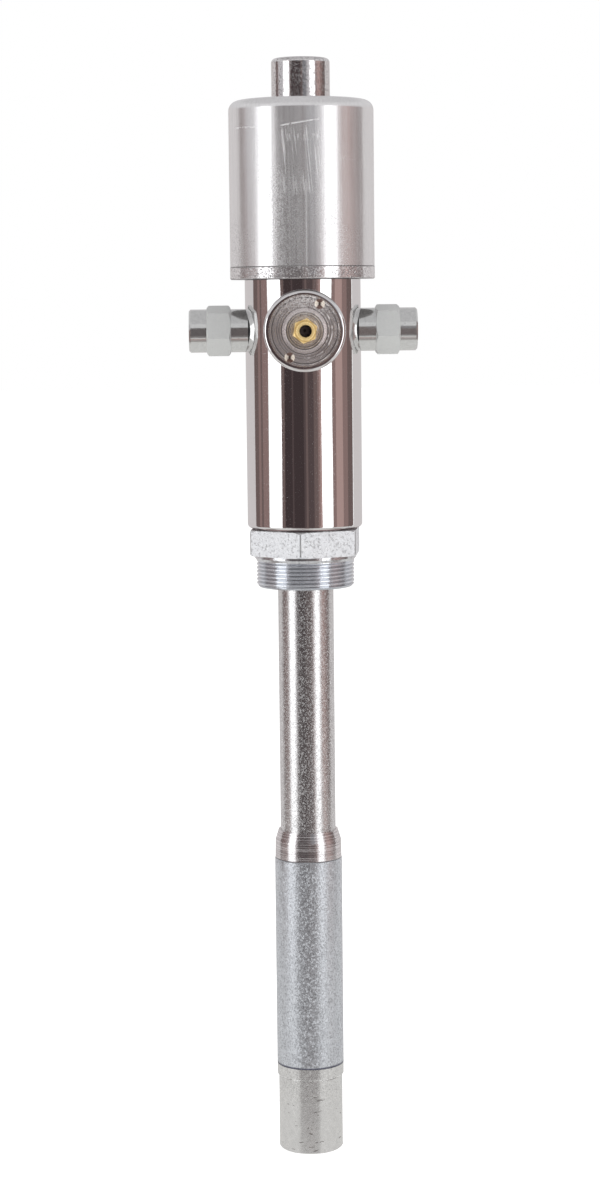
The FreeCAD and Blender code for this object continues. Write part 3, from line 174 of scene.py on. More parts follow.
class Finish:
    """One procedural material and the nodes that vary it over a surface."""

    def __init__(self, name, colour, metallic, roughness):
        self.material = bpy.data.materials.new(name)
        self.material.use_nodes = True
        self.tree = self.material.node_tree
        self.shader = self.tree.nodes["Principled BSDF"]
        self.place = self.node("ShaderNodeTexCoord", {}, {}, "Object")
        self.feed("Base Color", (*colour, 1.0))
        self.feed("Metallic", metallic)
        self.feed("Roughness", roughness)

    def node(self, kind, settings, sockets, output=0):
        """Add a node: its settings first, then a value or a link for each socket."""
        made = self.tree.nodes.new(kind)
        for name, value in settings.items():
            setattr(made, name, value)
        for name, value in sockets.items():
            if isinstance(value, Wire):
                self.tree.links.new(value.socket, made.inputs[name])
            else:
                made.inputs[name].default_value = value
        return Wire(self, made.outputs[output])

    def feed(self, socket, value):
        """Set or link one of the shader's sockets."""
        if isinstance(value, Wire):
            self.tree.links.new(value.socket, self.shader.inputs[socket])
        else:
            self.shader.inputs[socket].default_value = value

    def stretched(self, across, along):
        """Object coordinates scaled across the axis and along it."""
        return self.node("ShaderNodeMapping", {}, {"Vector": self.place, "Scale": (across, across, along)})

    def noise(self, across, along, detail=2.0, rough=0.5):
        """Cloudy noise from 0 to 1 with that many features a metre."""
        return self.node("ShaderNodeTexNoise", {}, {
            "Vector": self.stretched(across, along), "Scale": 1.0, "Detail": detail, "Roughness": rough})

    def banded(self, value, often, detail, rough=0.5):
        """Noise that changes along one value only, with that many bands a metre."""
        return self.node("ShaderNodeTexNoise", {"noise_dimensions": "1D"}, {
            "W": value, "Scale": often, "Detail": detail, "Roughness": rough})

    def cells(self, across, along):
        """Distance to the nearest of scattered points."""
        return self.node("ShaderNodeTexVoronoi", {"feature": "F1"}, {
            "Vector": self.stretched(across, along), "Scale": 1.0, "Randomness": 1.0}, "Distance")

    def ramp(self, value, low, high, start=0.0, end=1.0):
        """Straight change from start to end while a value goes from low to high."""
        return self.node("ShaderNodeMapRange", {"clamp": True}, {
            "Value": value, "From Min": low, "From Max": high, "To Min": start, "To Max": end})

    def blend(self, factor, first, second):
        """Colour between two colours."""
        return self.node("ShaderNodeMix", {"data_type": "RGBA"}, {0: factor, 6: first, 7: second}, 2)

    def bump(self, height, distance):
        """Small relief that only tilts the surface."""
        relief = self.node("ShaderNodeBump", {}, {"Height": height, "Distance": distance, "Strength": 1.0})
        self.feed("Normal", relief)

    def along(self, axis):
        """Distance along one of the axes X, Y and Z, in metres."""
        return self.node("ShaderNodeSeparateXYZ", {}, {"Vector": self.place}, axis)

    def height(self):
        """Distance up the pump, in metres."""
        return self.along("Z")

    def reach(self, first, second):
        """Length of a step that goes so far one way and so far square to it."""
        return (first * first + second * second).power(0.5)

    def around(self, radius):
        """Distance round the pump from its front towards +X, and distance up it, in metres."""
        return self.maths("ARCTAN2", self.along("X"), self.along("Y") * -1.0) * radius, self.height()

    def maths(self, operation, *values):
        """One step of arithmetic."""
        return self.node("ShaderNodeMath", {"operation": operation}, dict(enumerate(values)))

    def window(self, value, low, high, edge):
        """1 while a value is between low and high, fading to 0 over edge outside them."""
        return self.ramp(value, low - edge, low) * self.ramp(value, high + edge, high)

    def field(self, around, up, spans):
        """1 inside a field of an unrolled surface, fading to 0 over its edges."""
        around_span, up_span = spans
        return self.window(around, *around_span) * self.window(up, *up_span)

    def grains(self, across, along, low, high):
        """Sharp-edged grains, 1 in them and 0 between them."""
        return self.ramp(self.noise(across, along, 3.0, 0.7), low, high)

    def slanted(self, around, up, lean, across, along):
        """Noise in long streaks that lean a little on an unrolled surface."""
        flat = self.node("ShaderNodeCombineXYZ", {}, {
            "X": (around + up * lean) * across, "Y": up * along, "Z": 0.0})
        return self.node("ShaderNodeTexNoise", {}, {"Vector": flat, "Scale": 1.0, "Detail": 2.0})


def tinted(colour, share):
    """A colour made darker or lighter."""
    return (*[min(1.0, part * share) for part in colour], 1.0)


def polished_chrome():
    """Mirror chrome with faint ripples, pin specks, a little dust and a painted reddish reflection along
    its lower edge.
    """
    colour = (0.93, 0.92, 0.92)
    finish = Finish("polished_chrome", colour, 1.0, 0.04)
    specks = finish.ramp(finish.noise(2600, 2600, 0.0), 0.74, 0.80)
    streaks = finish.ramp(finish.noise(1500, 40, 3.0), 0.58, 0.72)
    # Painted reflection: a reddish line in the colour along the body's lower edge
    rim = finish.ramp(finish.height(), BODY_LOW + 0.0011, BODY_LOW + 0.0005)
    specked = finish.blend(specks * 0.6, tinted(colour, 1.0), tinted(colour, 0.6))
    finish.feed("Base Color", finish.blend(rim * 0.9, specked, (0.24, 0.10, 0.09, 1.0)))
    finish.feed("Roughness", 0.03 + streaks * 0.05 + specks * 0.3)
    finish.bump(finish.noise(90, 12, 1.0) + finish.noise(260, 40, 2.0) * 0.12 + specks * 0.05, 0.00005)
    return finish.material


def peppered_chrome():
    """Chrome over a rougher blank: bright, with fine pepper all over."""
    colour = (0.92, 0.90, 0.90)
    finish = Finish("peppered_chrome", colour, 1.0, 0.1)
    pepper = finish.grains(1300, 1000, 0.52, 0.62)
    salt = finish.grains(1000, 800, 0.53, 0.60)
    finish.feed("Base Color", finish.blend(pepper * 0.7, tinted(colour, 0.95), tinted(colour, 0.25)))
    finish.feed("Metallic", 1.0 - salt * 0.22)
    finish.feed("Roughness", 0.11 + pepper * 0.08)
    finish.bump(pepper * 0.5 + finish.noise(300, 60, 2.0) * 0.6, 0.000012)
    return finish.material


def satin_aluminium():
    """Brushed aluminium under a thin haze: fine upright grain, a drawn line and a few scratches."""
    colour = (0.90, 0.895, 0.90)
    finish = Finish("satin_aluminium", colour, SATIN_METAL, 0.2)
    grain = finish.noise(2400, 14, 4.0, 0.7)
    long_marks = finish.noise(700, 6, 3.0, 0.6)
    cloud = finish.noise(60, 30, 3.0)
    pepper = finish.ramp(finish.noise(1500, 900, 3.0, 0.65), 0.54, 0.66)
    worn = finish.ramp(finish.noise(34, 22, 2.0), 0.48, 0.62)
    around, up = finish.around(CYLINDER_RADIUS)
    low_half = finish.ramp(up, 0.262, 0.18)
    fine = finish.grains(1000, 800, 0.50, 0.60)
    dull = (pepper * worn * low_half + fine * finish.field(around, up, SPECKLED)).clamped()
    slanted = finish.slanted(around, up, 0.10, 1300, 26)
    strokes = finish.ramp(slanted, 0.56, 0.66) * finish.field(around, up, RUBBED)
    worn_through = finish.noise(700, 700, 2.0)
    scuff = finish.field(around, up - around * SCUFF_LEAN, SCUFF) * finish.ramp(worn_through, 0.38, 0.52)
    side_scuff = finish.field(around, up, SIDE_SCUFF) * finish.ramp(worn_through, 0.46, 0.56)
    upright = finish.ramp(finish.noise(1500, 110, 2.0), 0.52, 0.62)
    ticks = finish.field(around, up, TICKED) * upright * 0.5
    below = finish.ramp(up, DRAWN_LINE_TOP, DRAWN_LINE_TOP - 0.001)
    drawn = finish.window(around, *DRAWN_LINE) * below * 0.5
    marks = (strokes * 0.8 + scuff + ticks + side_scuff + drawn).clamped()
    shade = finish.ramp(grain, 0.3, 0.7)
    streaks = finish.ramp(finish.noise(520, 7, 3.0, 0.6), 0.40, 0.64)
    plain = finish.blend(shade * 0.6 + streaks * 0.4, tinted(colour, 0.90), tinted(colour, 1.05))
    peppered = finish.blend(dull * 0.55, plain, tinted(colour, 0.55))
    finish.feed("Base Color", finish.blend(marks * 0.6, peppered, (1.0, 1.0, 1.0, 1.0)))
    finish.feed("Metallic", SATIN_METAL - marks * 0.28 + streaks * 0.10)
    hazy = finish.ramp(cloud, 0.35, 0.7)
    finish.feed("Roughness", 0.19 + grain * 0.07 + hazy * 0.05 + dull * 0.15 + marks * 0.15)
    finish.bump(grain * 0.6 + long_marks * 0.9 - dull * 0.8, 0.000028)
    return finish.material


def zinc_plate():
    """Zinc plate: mottled and speckled on the hexagon, with painted dark reflections down its corners,
    bright on the collar, with painted shade in the neck over it.
    """
    colour = (0.74, 0.755, 0.775)
    finish = Finish("zinc_plate", colour, 0.55, 0.4)
    mottle = finish.noise(420, 420, 5.0, 0.65)
    specks = finish.ramp(finish.noise(1100, 1100, 2.0), 0.56, 0.64)
    pits = finish.ramp(finish.noise(620, 620, 3.0, 0.7), 0.56, 0.64)
    plain = finish.blend(finish.ramp(mottle, 0.35, 0.65), tinted(colour, 0.92), tinted(colour, 1.10))
    flecked = finish.blend(specks * 0.55, plain, (0.95, 0.96, 0.97, 1.0))
    pitted = finish.blend(pits * 0.6, flecked, tinted(colour, 0.5))
    reach = finish.reach(finish.along("X"), finish.along("Y"))
    # Painted reflection: a thin dark grey line down each upright corner of the hexagon
    painted_corner_line = finish.ramp(reach, HEX_CORNER - 0.00032, HEX_CORNER - 0.00022)
    up = finish.height()
    collar = finish.ramp(up, 0.0, -0.0002)
    # Painted shade: the neck over the hexagon darkened almost to black
    painted_neck_shade = finish.ramp(up, NECK_LOW, NECK_LOW + 0.0003)
    with_painted_corner_lines = finish.blend(painted_corner_line * 0.7, pitted, (0.25, 0.25, 0.25, 1.0))
    finish.feed("Base Color", finish.blend(painted_neck_shade * 0.8, with_painted_corner_lines, (0.09, 0.06, 0.06, 1.0)))
    finish.feed("Metallic", 0.55 + collar * 0.35)
    finish.feed("Roughness", 0.30 + mottle * 0.22 - collar * 0.26)
    finish.bump((mottle * 0.8 + specks * 0.35 - pits * 0.5) * (1.0 - collar * 0.8), 0.00014)
    return finish.material


def thread_plate():
    """Bluish bright zinc on the bung thread, with painted shade in the roots."""
    colour = (0.80, 0.83, 0.88)
    finish = Finish("thread_plate", colour, 0.82, 0.12)
    reach = finish.reach(finish.along("X"), finish.along("Y"))
    # Painted shade: darker towards the thread's roots, lighter out on its crests
    out_of_painted_root_shade = finish.ramp(reach, THREAD_ROOT, THREAD_CREST)
    pepper = finish.ramp(finish.noise(1300, 1300, 3.0, 0.7), 0.52, 0.66)
    plain = finish.blend(out_of_painted_root_shade, tinted(colour, 0.70), tinted(colour, 1.04))
    finish.feed("Base Color", finish.blend(pepper * 0.4, plain, tinted(colour, 0.5)))
    finish.feed("Roughness", 0.09 + pepper * 0.14)
    finish.bump(finish.noise(500, 500, 3.0) - pepper * 0.4, 0.00004)
    return finish.material


def base_plate():
    """Plated rim as shiny as the cylinder, with pits and pepper, dark where it meets its neighbours."""
    colour = (0.90, 0.885, 0.89)
    finish = Finish("base_plate", colour, 0.9, 0.16)
    pepper = finish.ramp(finish.noise(1000, 1100, 4.0, 0.75), 0.52, 0.60)
    salt = finish.grains(900, 1000, 0.54, 0.60)
    worn = finish.ramp(finish.noise(55, 30, 2.0), 0.36, 0.52)
    mottle = finish.noise(260, 460, 4.0, 0.6)
    up = finish.height()
    top_joint = finish.ramp(up, RIM_TOP - 0.0005, RIM_TOP - 0.0001)
    joint = top_joint + finish.ramp(up, RIM_LOW + 0.0006, RIM_LOW + 0.0002)
    plated = finish.blend(pepper * worn, tinted(colour, 1.0), tinted(colour, 0.12))
    finish.feed("Base Color", finish.blend(joint * 0.9, plated, (0.06, 0.05, 0.05, 1.0)))
    finish.feed("Metallic", 0.9 - joint * 0.7 - salt * 0.3)
    finish.feed("Roughness", 0.09 + pepper * 0.18 + mottle * 0.06)
    finish.bump(mottle * 0.7 - pepper * worn * 0.4, 0.00007)
    return finish.material


def satin_zinc():
    """Zinc plate: bright on the turned collars, dull on the flats of the hexagon bar."""
    colour = (0.80, 0.81, 0.80)
    finish = Finish("satin_zinc", colour, 0.9, 0.2)
    along = finish.maths("ABSOLUTE", finish.along("X"))
    bar = finish.window(along, ADAPTER_HEX_INNER, ADAPTER_HEX_OUTER, 0.0002)
    mottle = finish.noise(500, 500, 4.0, 0.6)
    rings = finish.banded(along, 1500.0, 2.0)
    pits = finish.ramp(finish.noise(900, 900, 3.0, 0.7), 0.62, 0.68)
    plain = finish.blend(finish.ramp(mottle, 0.35, 0.65), tinted(colour, 0.94), tinted(colour, 1.02))
    pitted = finish.blend(pits * 0.35, plain, tinted(colour, 0.5))
    finish.feed("Base Color", finish.blend(bar * 0.55, pitted, (0.54, 0.55, 0.54, 1.0)))
    finish.feed("Metallic", 0.92 - bar * 0.40)
    finish.feed("Roughness", 0.08 + mottle * 0.06 + rings * 0.05 + bar * 0.26)
    finish.bump(mottle * 0.4 - pits * 0.3, 0.00004)
    return finish.material


def nickel_plate():
    """Nickel plate with a fine mottle and short grain."""
    colour = (0.865, 0.865, 0.865)
    finish = Finish("nickel_plate", colour, 0.95, 0.15)
    mottle = finish.noise(500, 240, 5.0, 0.7)
    lower = finish.ramp(finish.height(), -0.03, -0.15, 0.88, 1.0)
    pepper = finish.grains(1150, 1000, 0.50, 0.60) * lower
    salt = finish.grains(1000, 900, 0.50, 0.60) * lower
    plain = finish.blend(finish.ramp(mottle, 0.38, 0.64), tinted(colour, 0.88), tinted(colour, 1.04))
    finish.feed("Base Color", finish.blend(pepper * 0.48, plain, tinted(colour, 0.40)))
    finish.feed("Metallic", 0.98 - salt * 0.36)
    finish.feed("Roughness", 0.20 + mottle * 0.06 + pepper * 0.05)
    finish.bump(mottle * 0.6 - pepper * 0.5, 0.000022)
    return finish.material


def turned_ring():
    """Nickel plate over the rings that a lathe leaves round the coupling."""
    colour = (0.82, 0.80, 0.805)
    finish = Finish("turned_ring", colour, 0.95, 0.15)
    rings = finish.noise(12, 1500, 3.0, 0.6)
    dark_rings = finish.ramp(rings, 0.50, 0.42)
    light_rings = finish.ramp(rings, 0.55, 0.62)
    pepper = finish.grains(1000, 900, 0.54, 0.64)
    joint = finish.ramp(finish.height(), BARREL_TOP + 0.0008, BARREL_TOP + 0.0003)
    plain = finish.blend(dark_rings * 0.4, tinted(colour, 1.08), tinted(colour, 0.4))
    speckled = finish.blend(pepper * 0.25, plain, tinted(colour, 0.5))
    finish.feed("Base Color", finish.blend(joint * 0.9, speckled, (0.05, 0.045, 0.05, 1.0)))
    finish.feed("Metallic", 0.96 - light_rings * 0.2 - joint * 0.6)
    finish.feed("Roughness", 0.12 + rings * 0.12 + pepper * 0.08)
    finish.bump(rings - pepper * 0.3, 0.00003)
    return finish.material


def blue_zinc():
    """Blue passivated zinc, rough and finely speckled."""
    colour = (0.71, 0.74, 0.78)
    finish = Finish("blue_zinc", colour, 0.8, 0.25)
    mottle = finish.noise(200, 260, 5.0, 0.75)
    dark = finish.grains(950, 850, 0.50, 0.59)
    salt = finish.grains(850, 750, 0.52, 0.60)
    joint = finish.ramp(finish.height(), BARREL_LOW + 0.0015, BARREL_LOW + 0.0009)
    plain = finish.blend(finish.ramp(mottle, 0.35, 0.65), tinted(colour, 0.92), tinted(colour, 1.08))
    peppered = finish.blend(dark * 0.55, plain, tinted(colour, 0.38))
    finish.feed("Base Color", finish.blend(joint * 0.9, peppered, (0.05, 0.05, 0.085, 1.0)))
    finish.feed("Metallic", 0.86 - salt * 0.42 - joint * 0.5)
    finish.feed("Roughness", 0.25 + mottle * 0.10)
    finish.bump(mottle * 0.4 + salt * 0.4 - dark * 0.5, 0.00004)
    return finish.material


def foot_plate():
    """Neutral grey nickel, finely speckled, with a few nicks and a broken bright line under the ring."""
    colour = (0.80, 0.80, 0.79)
    finish = Finish("foot_plate", colour, 0.85, 0.25)
    mottle = finish.noise(300, 300, 5.0, 0.7)
    upper = finish.ramp(finish.height(), BARREL_LOW - 0.028, BARREL_LOW - 0.012, 0.3, 1.0)
    dark = finish.grains(1000, 900, 0.50, 0.60) * upper
    salt = finish.grains(900, 800, 0.54, 0.61) * upper
    nicks = finish.ramp(finish.noise(170, 420, 2.0, 0.6), 0.67, 0.70)
    seam = finish.window(finish.height(), FOOT_RING_LOW - 0.0003, FOOT_RING_LOW + 0.0002, 0.0003)
    broken = finish.noise(500, 500, 2.0)
    bright = seam * finish.ramp(broken, 0.36, 0.46)
    dim = seam * finish.ramp(broken, 0.44, 0.36)
    plain = finish.blend(finish.ramp(mottle, 0.35, 0.65), tinted(colour, 0.95), tinted(colour, 1.06))
    peppered = finish.blend(dark * 0.38, plain, tinted(colour, 0.42))
    lined = finish.blend(bright * 0.8, peppered, (1.0, 1.0, 1.0, 1.0))
    dark_marks = (nicks * 0.6 + dim * 0.6).clamped()
    finish.feed("Base Color", finish.blend(dark_marks, lined, (0.16, 0.14, 0.13, 1.0)))
    finish.feed("Metallic", 0.84 - salt * 0.20 - bright * 0.4)
    finish.feed("Roughness", 0.17 + mottle * 0.08)
    finish.bump(mottle * 0.5 - dark * 0.3 - nicks * 0.8, 0.00003)
    return finish.material


def turned_nickel():
    """Plate over the fine rings a lathe leaves, duller and painted lighter near the top, with painted
    glints, and painted light and shade in its holes.
    """
    colour = (0.80, 0.745, 0.735)
    finish = Finish("turned_nickel", colour, 0.84, 0.12)
    across = finish.along("X")
    up = finish.height() - PORT_Z
    reach = finish.reach(across, up)
    hole_x, hole_up = PIN_HOLE_PLACE
    half = finish.maths("SIGN", up)
    beside = finish.maths("ABSOLUTE", across * half - hole_x)
    above = finish.maths("ABSOLUTE", up * half - hole_up)
    from_hole = finish.reach(beside, above)
    hole = finish.ramp(from_hole, PIN_HOLE_RIM, PIN_HOLE_RIM - 0.0002)
    rings = finish.banded(reach, 1700.0, 3.0, 0.7)
    cloud = finish.noise(220, 220, 3.0)
    pepper = finish.ramp(finish.noise(1300, 1300, 3.0, 0.7), 0.54, 0.66)
    marks = finish.ramp(finish.banded(reach, 700.0, 2.0), 0.52, 0.60)
    turned = finish.ramp(finish.banded(reach, 950.0, 1.0), 0.54, 0.62)
    # Painted highlights: turned arcs on the right side made less metallic so that they show whiter
    painted_glints = turned * finish.ramp(cloud, 0.46, 0.60) * finish.ramp(across, -0.004, 0.010)
    # Partly real, partly painted light: a rougher, duller patch near the top whose paler colour stands in
    # for a reflection
    dull = finish.ramp(up - finish.maths("ABSOLUTE", across) * 0.4, -0.004, 0.018)
    dull = dull * finish.grains(1100, 1100, 0.40, 0.58)
    # Painted light and shade in the pin holes: each cone painted white at its sides and dark brown above
    # and below, and made less metallic so the white shows
    painted_facet_light_and_shade = finish.ramp(above - beside + finish.noise(500, 500, 1.0) * 0.0016, 0.0005, 0.0010)
    # Painted shade: the bottom of each pin hole painted almost black
    painted_pit_shade = finish.ramp(from_hole, 0.0010, 0.0006)
    plain = finish.blend(pepper * 0.45, tinted(colour, 1.0), tinted(colour, 0.5))
    ringed = finish.blend(marks * 0.7, plain, tinted(colour, 0.3))
    dull_with_painted_top_light = finish.blend(dull * 0.6, ringed, (0.86, 0.85, 0.85, 1.0))
    painted_cone_light_and_shade = finish.blend(painted_facet_light_and_shade, (1.0, 0.93, 0.84, 1.0), (0.15, 0.08, 0.065, 1.0))
    with_painted_holes = finish.blend(hole * 0.9, dull_with_painted_top_light, painted_cone_light_and_shade)
    finish.feed("Base Color", finish.blend(painted_pit_shade * 0.9, with_painted_holes, (0.05, 0.03, 0.025, 1.0)))
    finish.feed("Metallic", (0.84 - dull * 0.34 - hole * 0.50 - painted_glints * 0.60).clamped())
    finish.feed("Roughness", 0.07 + rings * 0.08 + cloud * 0.06 + dull * 0.12 - hole * 0.06)
    finish.bump((rings + cloud * 0.6 - pepper * 0.2 + dull * 0.3) * (1.0 - hole), 0.00010)
    return finish.material


def machined_steel():
    """Plain turned steel with rings along its length."""
    colour = (0.62, 0.62, 0.63)
    finish = Finish("machined_steel", colour, 1.0, 0.3)
    rings = finish.noise(40, 2400, 3.0, 0.6)
    cloud = finish.noise(160, 160, 3.0)
    finish.feed("Base Color", finish.blend(cloud, tinted(colour, 0.88), tinted(colour, 1.08)))
    finish.feed("Roughness", 0.24 + rings * 0.14)
    finish.bump(rings, 0.00003)
    return finish.material


def cast_aluminium():
    """Machined casting with fine pores."""
    colour = (0.72, 0.73, 0.74)
    finish = Finish("cast_aluminium", colour, 1.0, 0.38)
    cloud = finish.noise(300, 300, 4.0, 0.6)
    pores = finish.ramp(finish.noise(1700, 1700, 1.0), 0.66, 0.74)
    dimmed = cloud * 0.8 + pores * 0.2
    finish.feed("Base Color", finish.blend(dimmed, tinted(colour, 1.06), tinted(colour, 0.84)))
    finish.feed("Roughness", 0.3 + cloud * 0.2)
    finish.bump(cloud * 0.5 - pores * 0.6, 0.00008)
    return finish.material


def brass():
    """Bare turned brass, a little tarnished in cloudy patches, with painted shade down its bore."""
    colour = (0.93, 0.70, 0.33)
    finish = Finish("brass", colour, 0.5, 0.25)
    cloud = finish.noise(380, 380, 4.0, 0.6)
    reach = finish.reach(finish.along("X"), finish.height() - PORT_Z)
    # Painted shade: the nipple's bore painted almost black
    bore = finish.ramp(reach, NIPPLE_BORE + 0.0003, NIPPLE_BORE + 0.0001)
    tarnished = finish.blend(finish.ramp(cloud, 0.45, 0.75), tinted(colour, 1.04), (0.78, 0.54, 0.22, 1.0))
    finish.feed("Base Color", finish.blend(bore * 0.9, tarnished, (0.05, 0.03, 0.015, 1.0)))
    finish.feed("Roughness", 0.22 + cloud * 0.14)
    finish.bump(finish.noise(900, 900, 3.0), 0.00004)
    return finish.material


def sintered_bronze():
    """Porous bronze: packed grains with dark gaps."""
    colour = (0.60, 0.42, 0.22)
    finish = Finish("sintered_bronze", colour, 1.0, 0.5)
    grains = finish.cells(2600, 2600)
    gaps = finish.ramp(grains, 0.3, 0.75)
    finish.feed("Base Color", finish.blend(gaps, tinted(colour, 1.15), tinted(colour, 0.35)))
    finish.feed("Roughness", 0.4 + grains * 0.3)
    finish.bump(1.0 - grains, 0.00025)
    return finish.material


def seal_rubber():
    """Matt black rubber with a trace of dust."""
    colour = (0.022, 0.022, 0.024)
    finish = Finish("seal_rubber", colour, 0.0, 0.55)
    cloud = finish.noise(500, 500, 4.0)
    finish.feed("Base Color", finish.blend(cloud, tinted(colour, 0.8), tinted(colour, 1.8)))
    finish.feed("Roughness", 0.48 + cloud * 0.22)
    finish.bump(finish.noise(2200, 2200, 2.0), 0.00003)
    return finish.material


def slide_polymer():
    """Off-white low-friction polymer."""
    colour = (0.80, 0.77, 0.70)
    finish = Finish("slide_polymer", colour, 0.0, 0.4)
    cloud = finish.noise(300, 300, 4.0)
    finish.feed("Base Color", finish.blend(cloud, tinted(colour, 0.93), tinted(colour, 1.04)))
    finish.feed("Roughness", 0.34 + cloud * 0.16)
    finish.bump(finish.noise(1500, 1500, 2.0), 0.00002)
    return finish.material


FINISHES = {make.__name__: make() for make in (
    polished_chrome, peppered_chrome, satin_aluminium, zinc_plate, thread_plate, base_plate, satin_zinc,
    nickel_plate, turned_ring, blue_zinc, foot_plate, turned_nickel, machined_steel, cast_aluminium, brass,
    sintered_bronze, seal_rubber, slide_polymer)}

# Pieces whose surface differs from the usual look of their slot
OWN_FINISH = {
    "top_cap": "peppered_chrome", "cylinder_base": "base_plate", "tube_coupling": "turned_ring",
    "foot_valve_body": "foot_plate", "bung_thread": "thread_plate"}


def dress(piece, finish):
    """Give a piece one of the finishes."""
    piece.data.materials.clear()
    piece.data.materials.append(FINISHES[finish])


for name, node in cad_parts.items():
    slot = node.data.materials[0].name.split(".")[0]
    dress(node, OWN_FINISH.get(name, slot))


def wind(mesh, profile, steps, rise):
    """Wind a profile of radii and heights once about the pump's axis, rising as it goes."""
    points = [mesh.verts.new((radius, 0.0, height)) for radius, height in profile]
    edges = [mesh.edges.new(pair) for pair in zip(points, points[1:])]
    bmesh.ops.spin(mesh, geom=points + edges, cent=(0, 0, 0), axis=(0, 0, 1), angle=math.tau, steps=steps,
                   dvec=(0, 0, rise / steps), use_merge=False)


def to_piece(mesh, name, slot, body, replaces):
    """Close the modelling of a piece: weld, point faces outwards, dress it and let it ride on its body."""
    bmesh.ops.remove_doubles(mesh, verts=mesh.verts[:], dist=WELD)
    bmesh.ops.recalc_face_normals(mesh, faces=mesh.faces[:])
    for face in mesh.faces:
        face.smooth = True
    data = bpy.data.meshes.new(name)
    mesh.to_mesh(data)
    mesh.free()
    if "custom_normal" in data.attributes:
        data.attributes.remove(data.attributes["custom_normal"])
    data.set_sharp_from_angle(angle=math.radians(SHARP_DEGREES))
    piece = bpy.data.objects.new(name, data)
    bpy.context.scene.collection.objects.link(piece)
    dress(piece, OWN_FINISH.get(name, slot))
    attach(piece, body)
    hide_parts(replaces)


def make_bung_thread():
    """The bung thread as one helix, with its lead chamfer, its run-out under the shoulder and its bore."""
    mesh = bmesh.new()
    turns = int((THREAD_TOP - THREAD_END) / THREAD_PITCH) + 4
    low = THREAD_END - 2 * THREAD_PITCH
    depth = THREAD_CREST - THREAD_ROOT
    profile = []
    for number in range(turns):
        for up_share, out_share in THREAD_FORM:
            profile.append((THREAD_ROOT + depth * out_share, low + (number + up_share) * THREAD_PITCH))
    profile.append((THREAD_ROOT, low + turns * THREAD_PITCH))
    wind(mesh, profile, THREAD_STEPS, THREAD_PITCH)
    bmesh.ops.remove_doubles(mesh, verts=mesh.verts[:], dist=WELD)
    for height, side in ((THREAD_END, -1), (THREAD_TOP, 1)):
        bmesh.ops.bisect_plane(mesh, geom=mesh.verts[:] + mesh.edges[:] + mesh.faces[:], dist=ON_CUT,
                               plane_co=(0, 0, height), plane_no=(0, 0, side), clear_outer=True)
    for point in mesh.verts:
        radius = math.hypot(point.co.x, point.co.y)
        lead = THREAD_CREST - THREAD_LEAD + (point.co.z - THREAD_END)
        run_out = THREAD_CREST - max(0.0, RUN_OUT_START - point.co.z) * RUN_OUT_SLOPE
        wanted = min(max(radius, run_out), lead)
        point.co.x *= wanted / radius
        point.co.y *= wanted / radius
    rims = []
    for height in (THREAD_END, THREAD_TOP):
        rims.append([edge for edge in mesh.edges if edge.is_boundary
                     and all(abs(point.co.z - height) < LEVEL for point in edge.verts)])
    for height, rim in zip((THREAD_END, THREAD_TOP), rims):
        inner = bmesh.ops.create_circle(mesh, segments=BORE_STEPS, radius=RISER_HOLE)["verts"]
        bmesh.ops.translate(mesh, verts=inner, vec=(0, 0, height))
        ring = {edge for point in inner for edge in point.link_edges}
        bmesh.ops.bridge_loops(mesh, edges=rim + list(ring))
    bmesh.ops.bridge_loops(mesh, edges=[edge for edge in mesh.edges if edge.is_boundary])
    to_piece(mesh, "bung_thread", "zinc_plate", "root", "bung_adapter")


def make_bung_hexagon():
    """The adapter above its thread: a merged copy of the solid, cut off where the thread starts."""
    mesh = bmesh.new()
    mesh.from_mesh(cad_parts["bung_adapter"].data)
    bmesh.ops.remove_doubles(mesh, verts=mesh.verts[:], dist=WELD)
    corners = []
    for edge in mesh.edges:
        reach = min(math.hypot(point.co.x, point.co.y) for point in edge.verts)
        rise = abs(edge.verts[0].co.z - edge.verts[1].co.z)
        if reach > HEX_CORNER - CORNER_SLACK and rise > NECK_LOW / 2:
            corners.append(edge)
    bmesh.ops.bevel(mesh, geom=corners, offset=HEX_EASE, offset_type="OFFSET", segments=2, profile=0.5,
                    affect="EDGES", material=-1)
    cut = bmesh.ops.bisect_plane(mesh, geom=mesh.verts[:] + mesh.edges[:] + mesh.faces[:], dist=ON_CUT,
                                 plane_co=(0, 0, THREAD_TOP), plane_no=(0, 0, -1), clear_outer=True)
    rims = [edge for edge in cut["geom_cut"] if isinstance(edge, bmesh.types.BMEdge)]
    bmesh.ops.bridge_loops(mesh, edges=rims)
    to_piece(mesh, "bung_hexagon", "zinc_plate", "root", "bung_adapter")


make_bung_thread()
make_bung_hexagon()


def light_only(name, colour):
    """A plain glowing material for the studio's cards."""
    material = bpy.data.materials.new(name)
    material.use_nodes = True
    shader = material.node_tree.nodes["Principled BSDF"]
    shader.inputs["Base Color"].default_value = (0, 0, 0, 1)
    shader.inputs["Specular IOR Level"].default_value = 0.0
    shader.inputs["Emission Color"].default_value = (*[part / max(colour) for part in colour], 1)
    shader.inputs["Emission Strength"].default_value = max(colour)
    return material


def show_in_metal(mesh, name, colour):
    """Make a card that only shows in shiny surfaces."""
    data = bpy.data.meshes.new(name)
    mesh.to_mesh(data)
    mesh.free()
    piece = bpy.data.objects.new(name, data)
    bpy.context.scene.collection.objects.link(piece)
    piece.data.materials.append(light_only(name, colour))
    piece.visible_camera = False
    piece.visible_diffuse = False
    piece.visible_shadow = False
    piece.visible_transmission = False


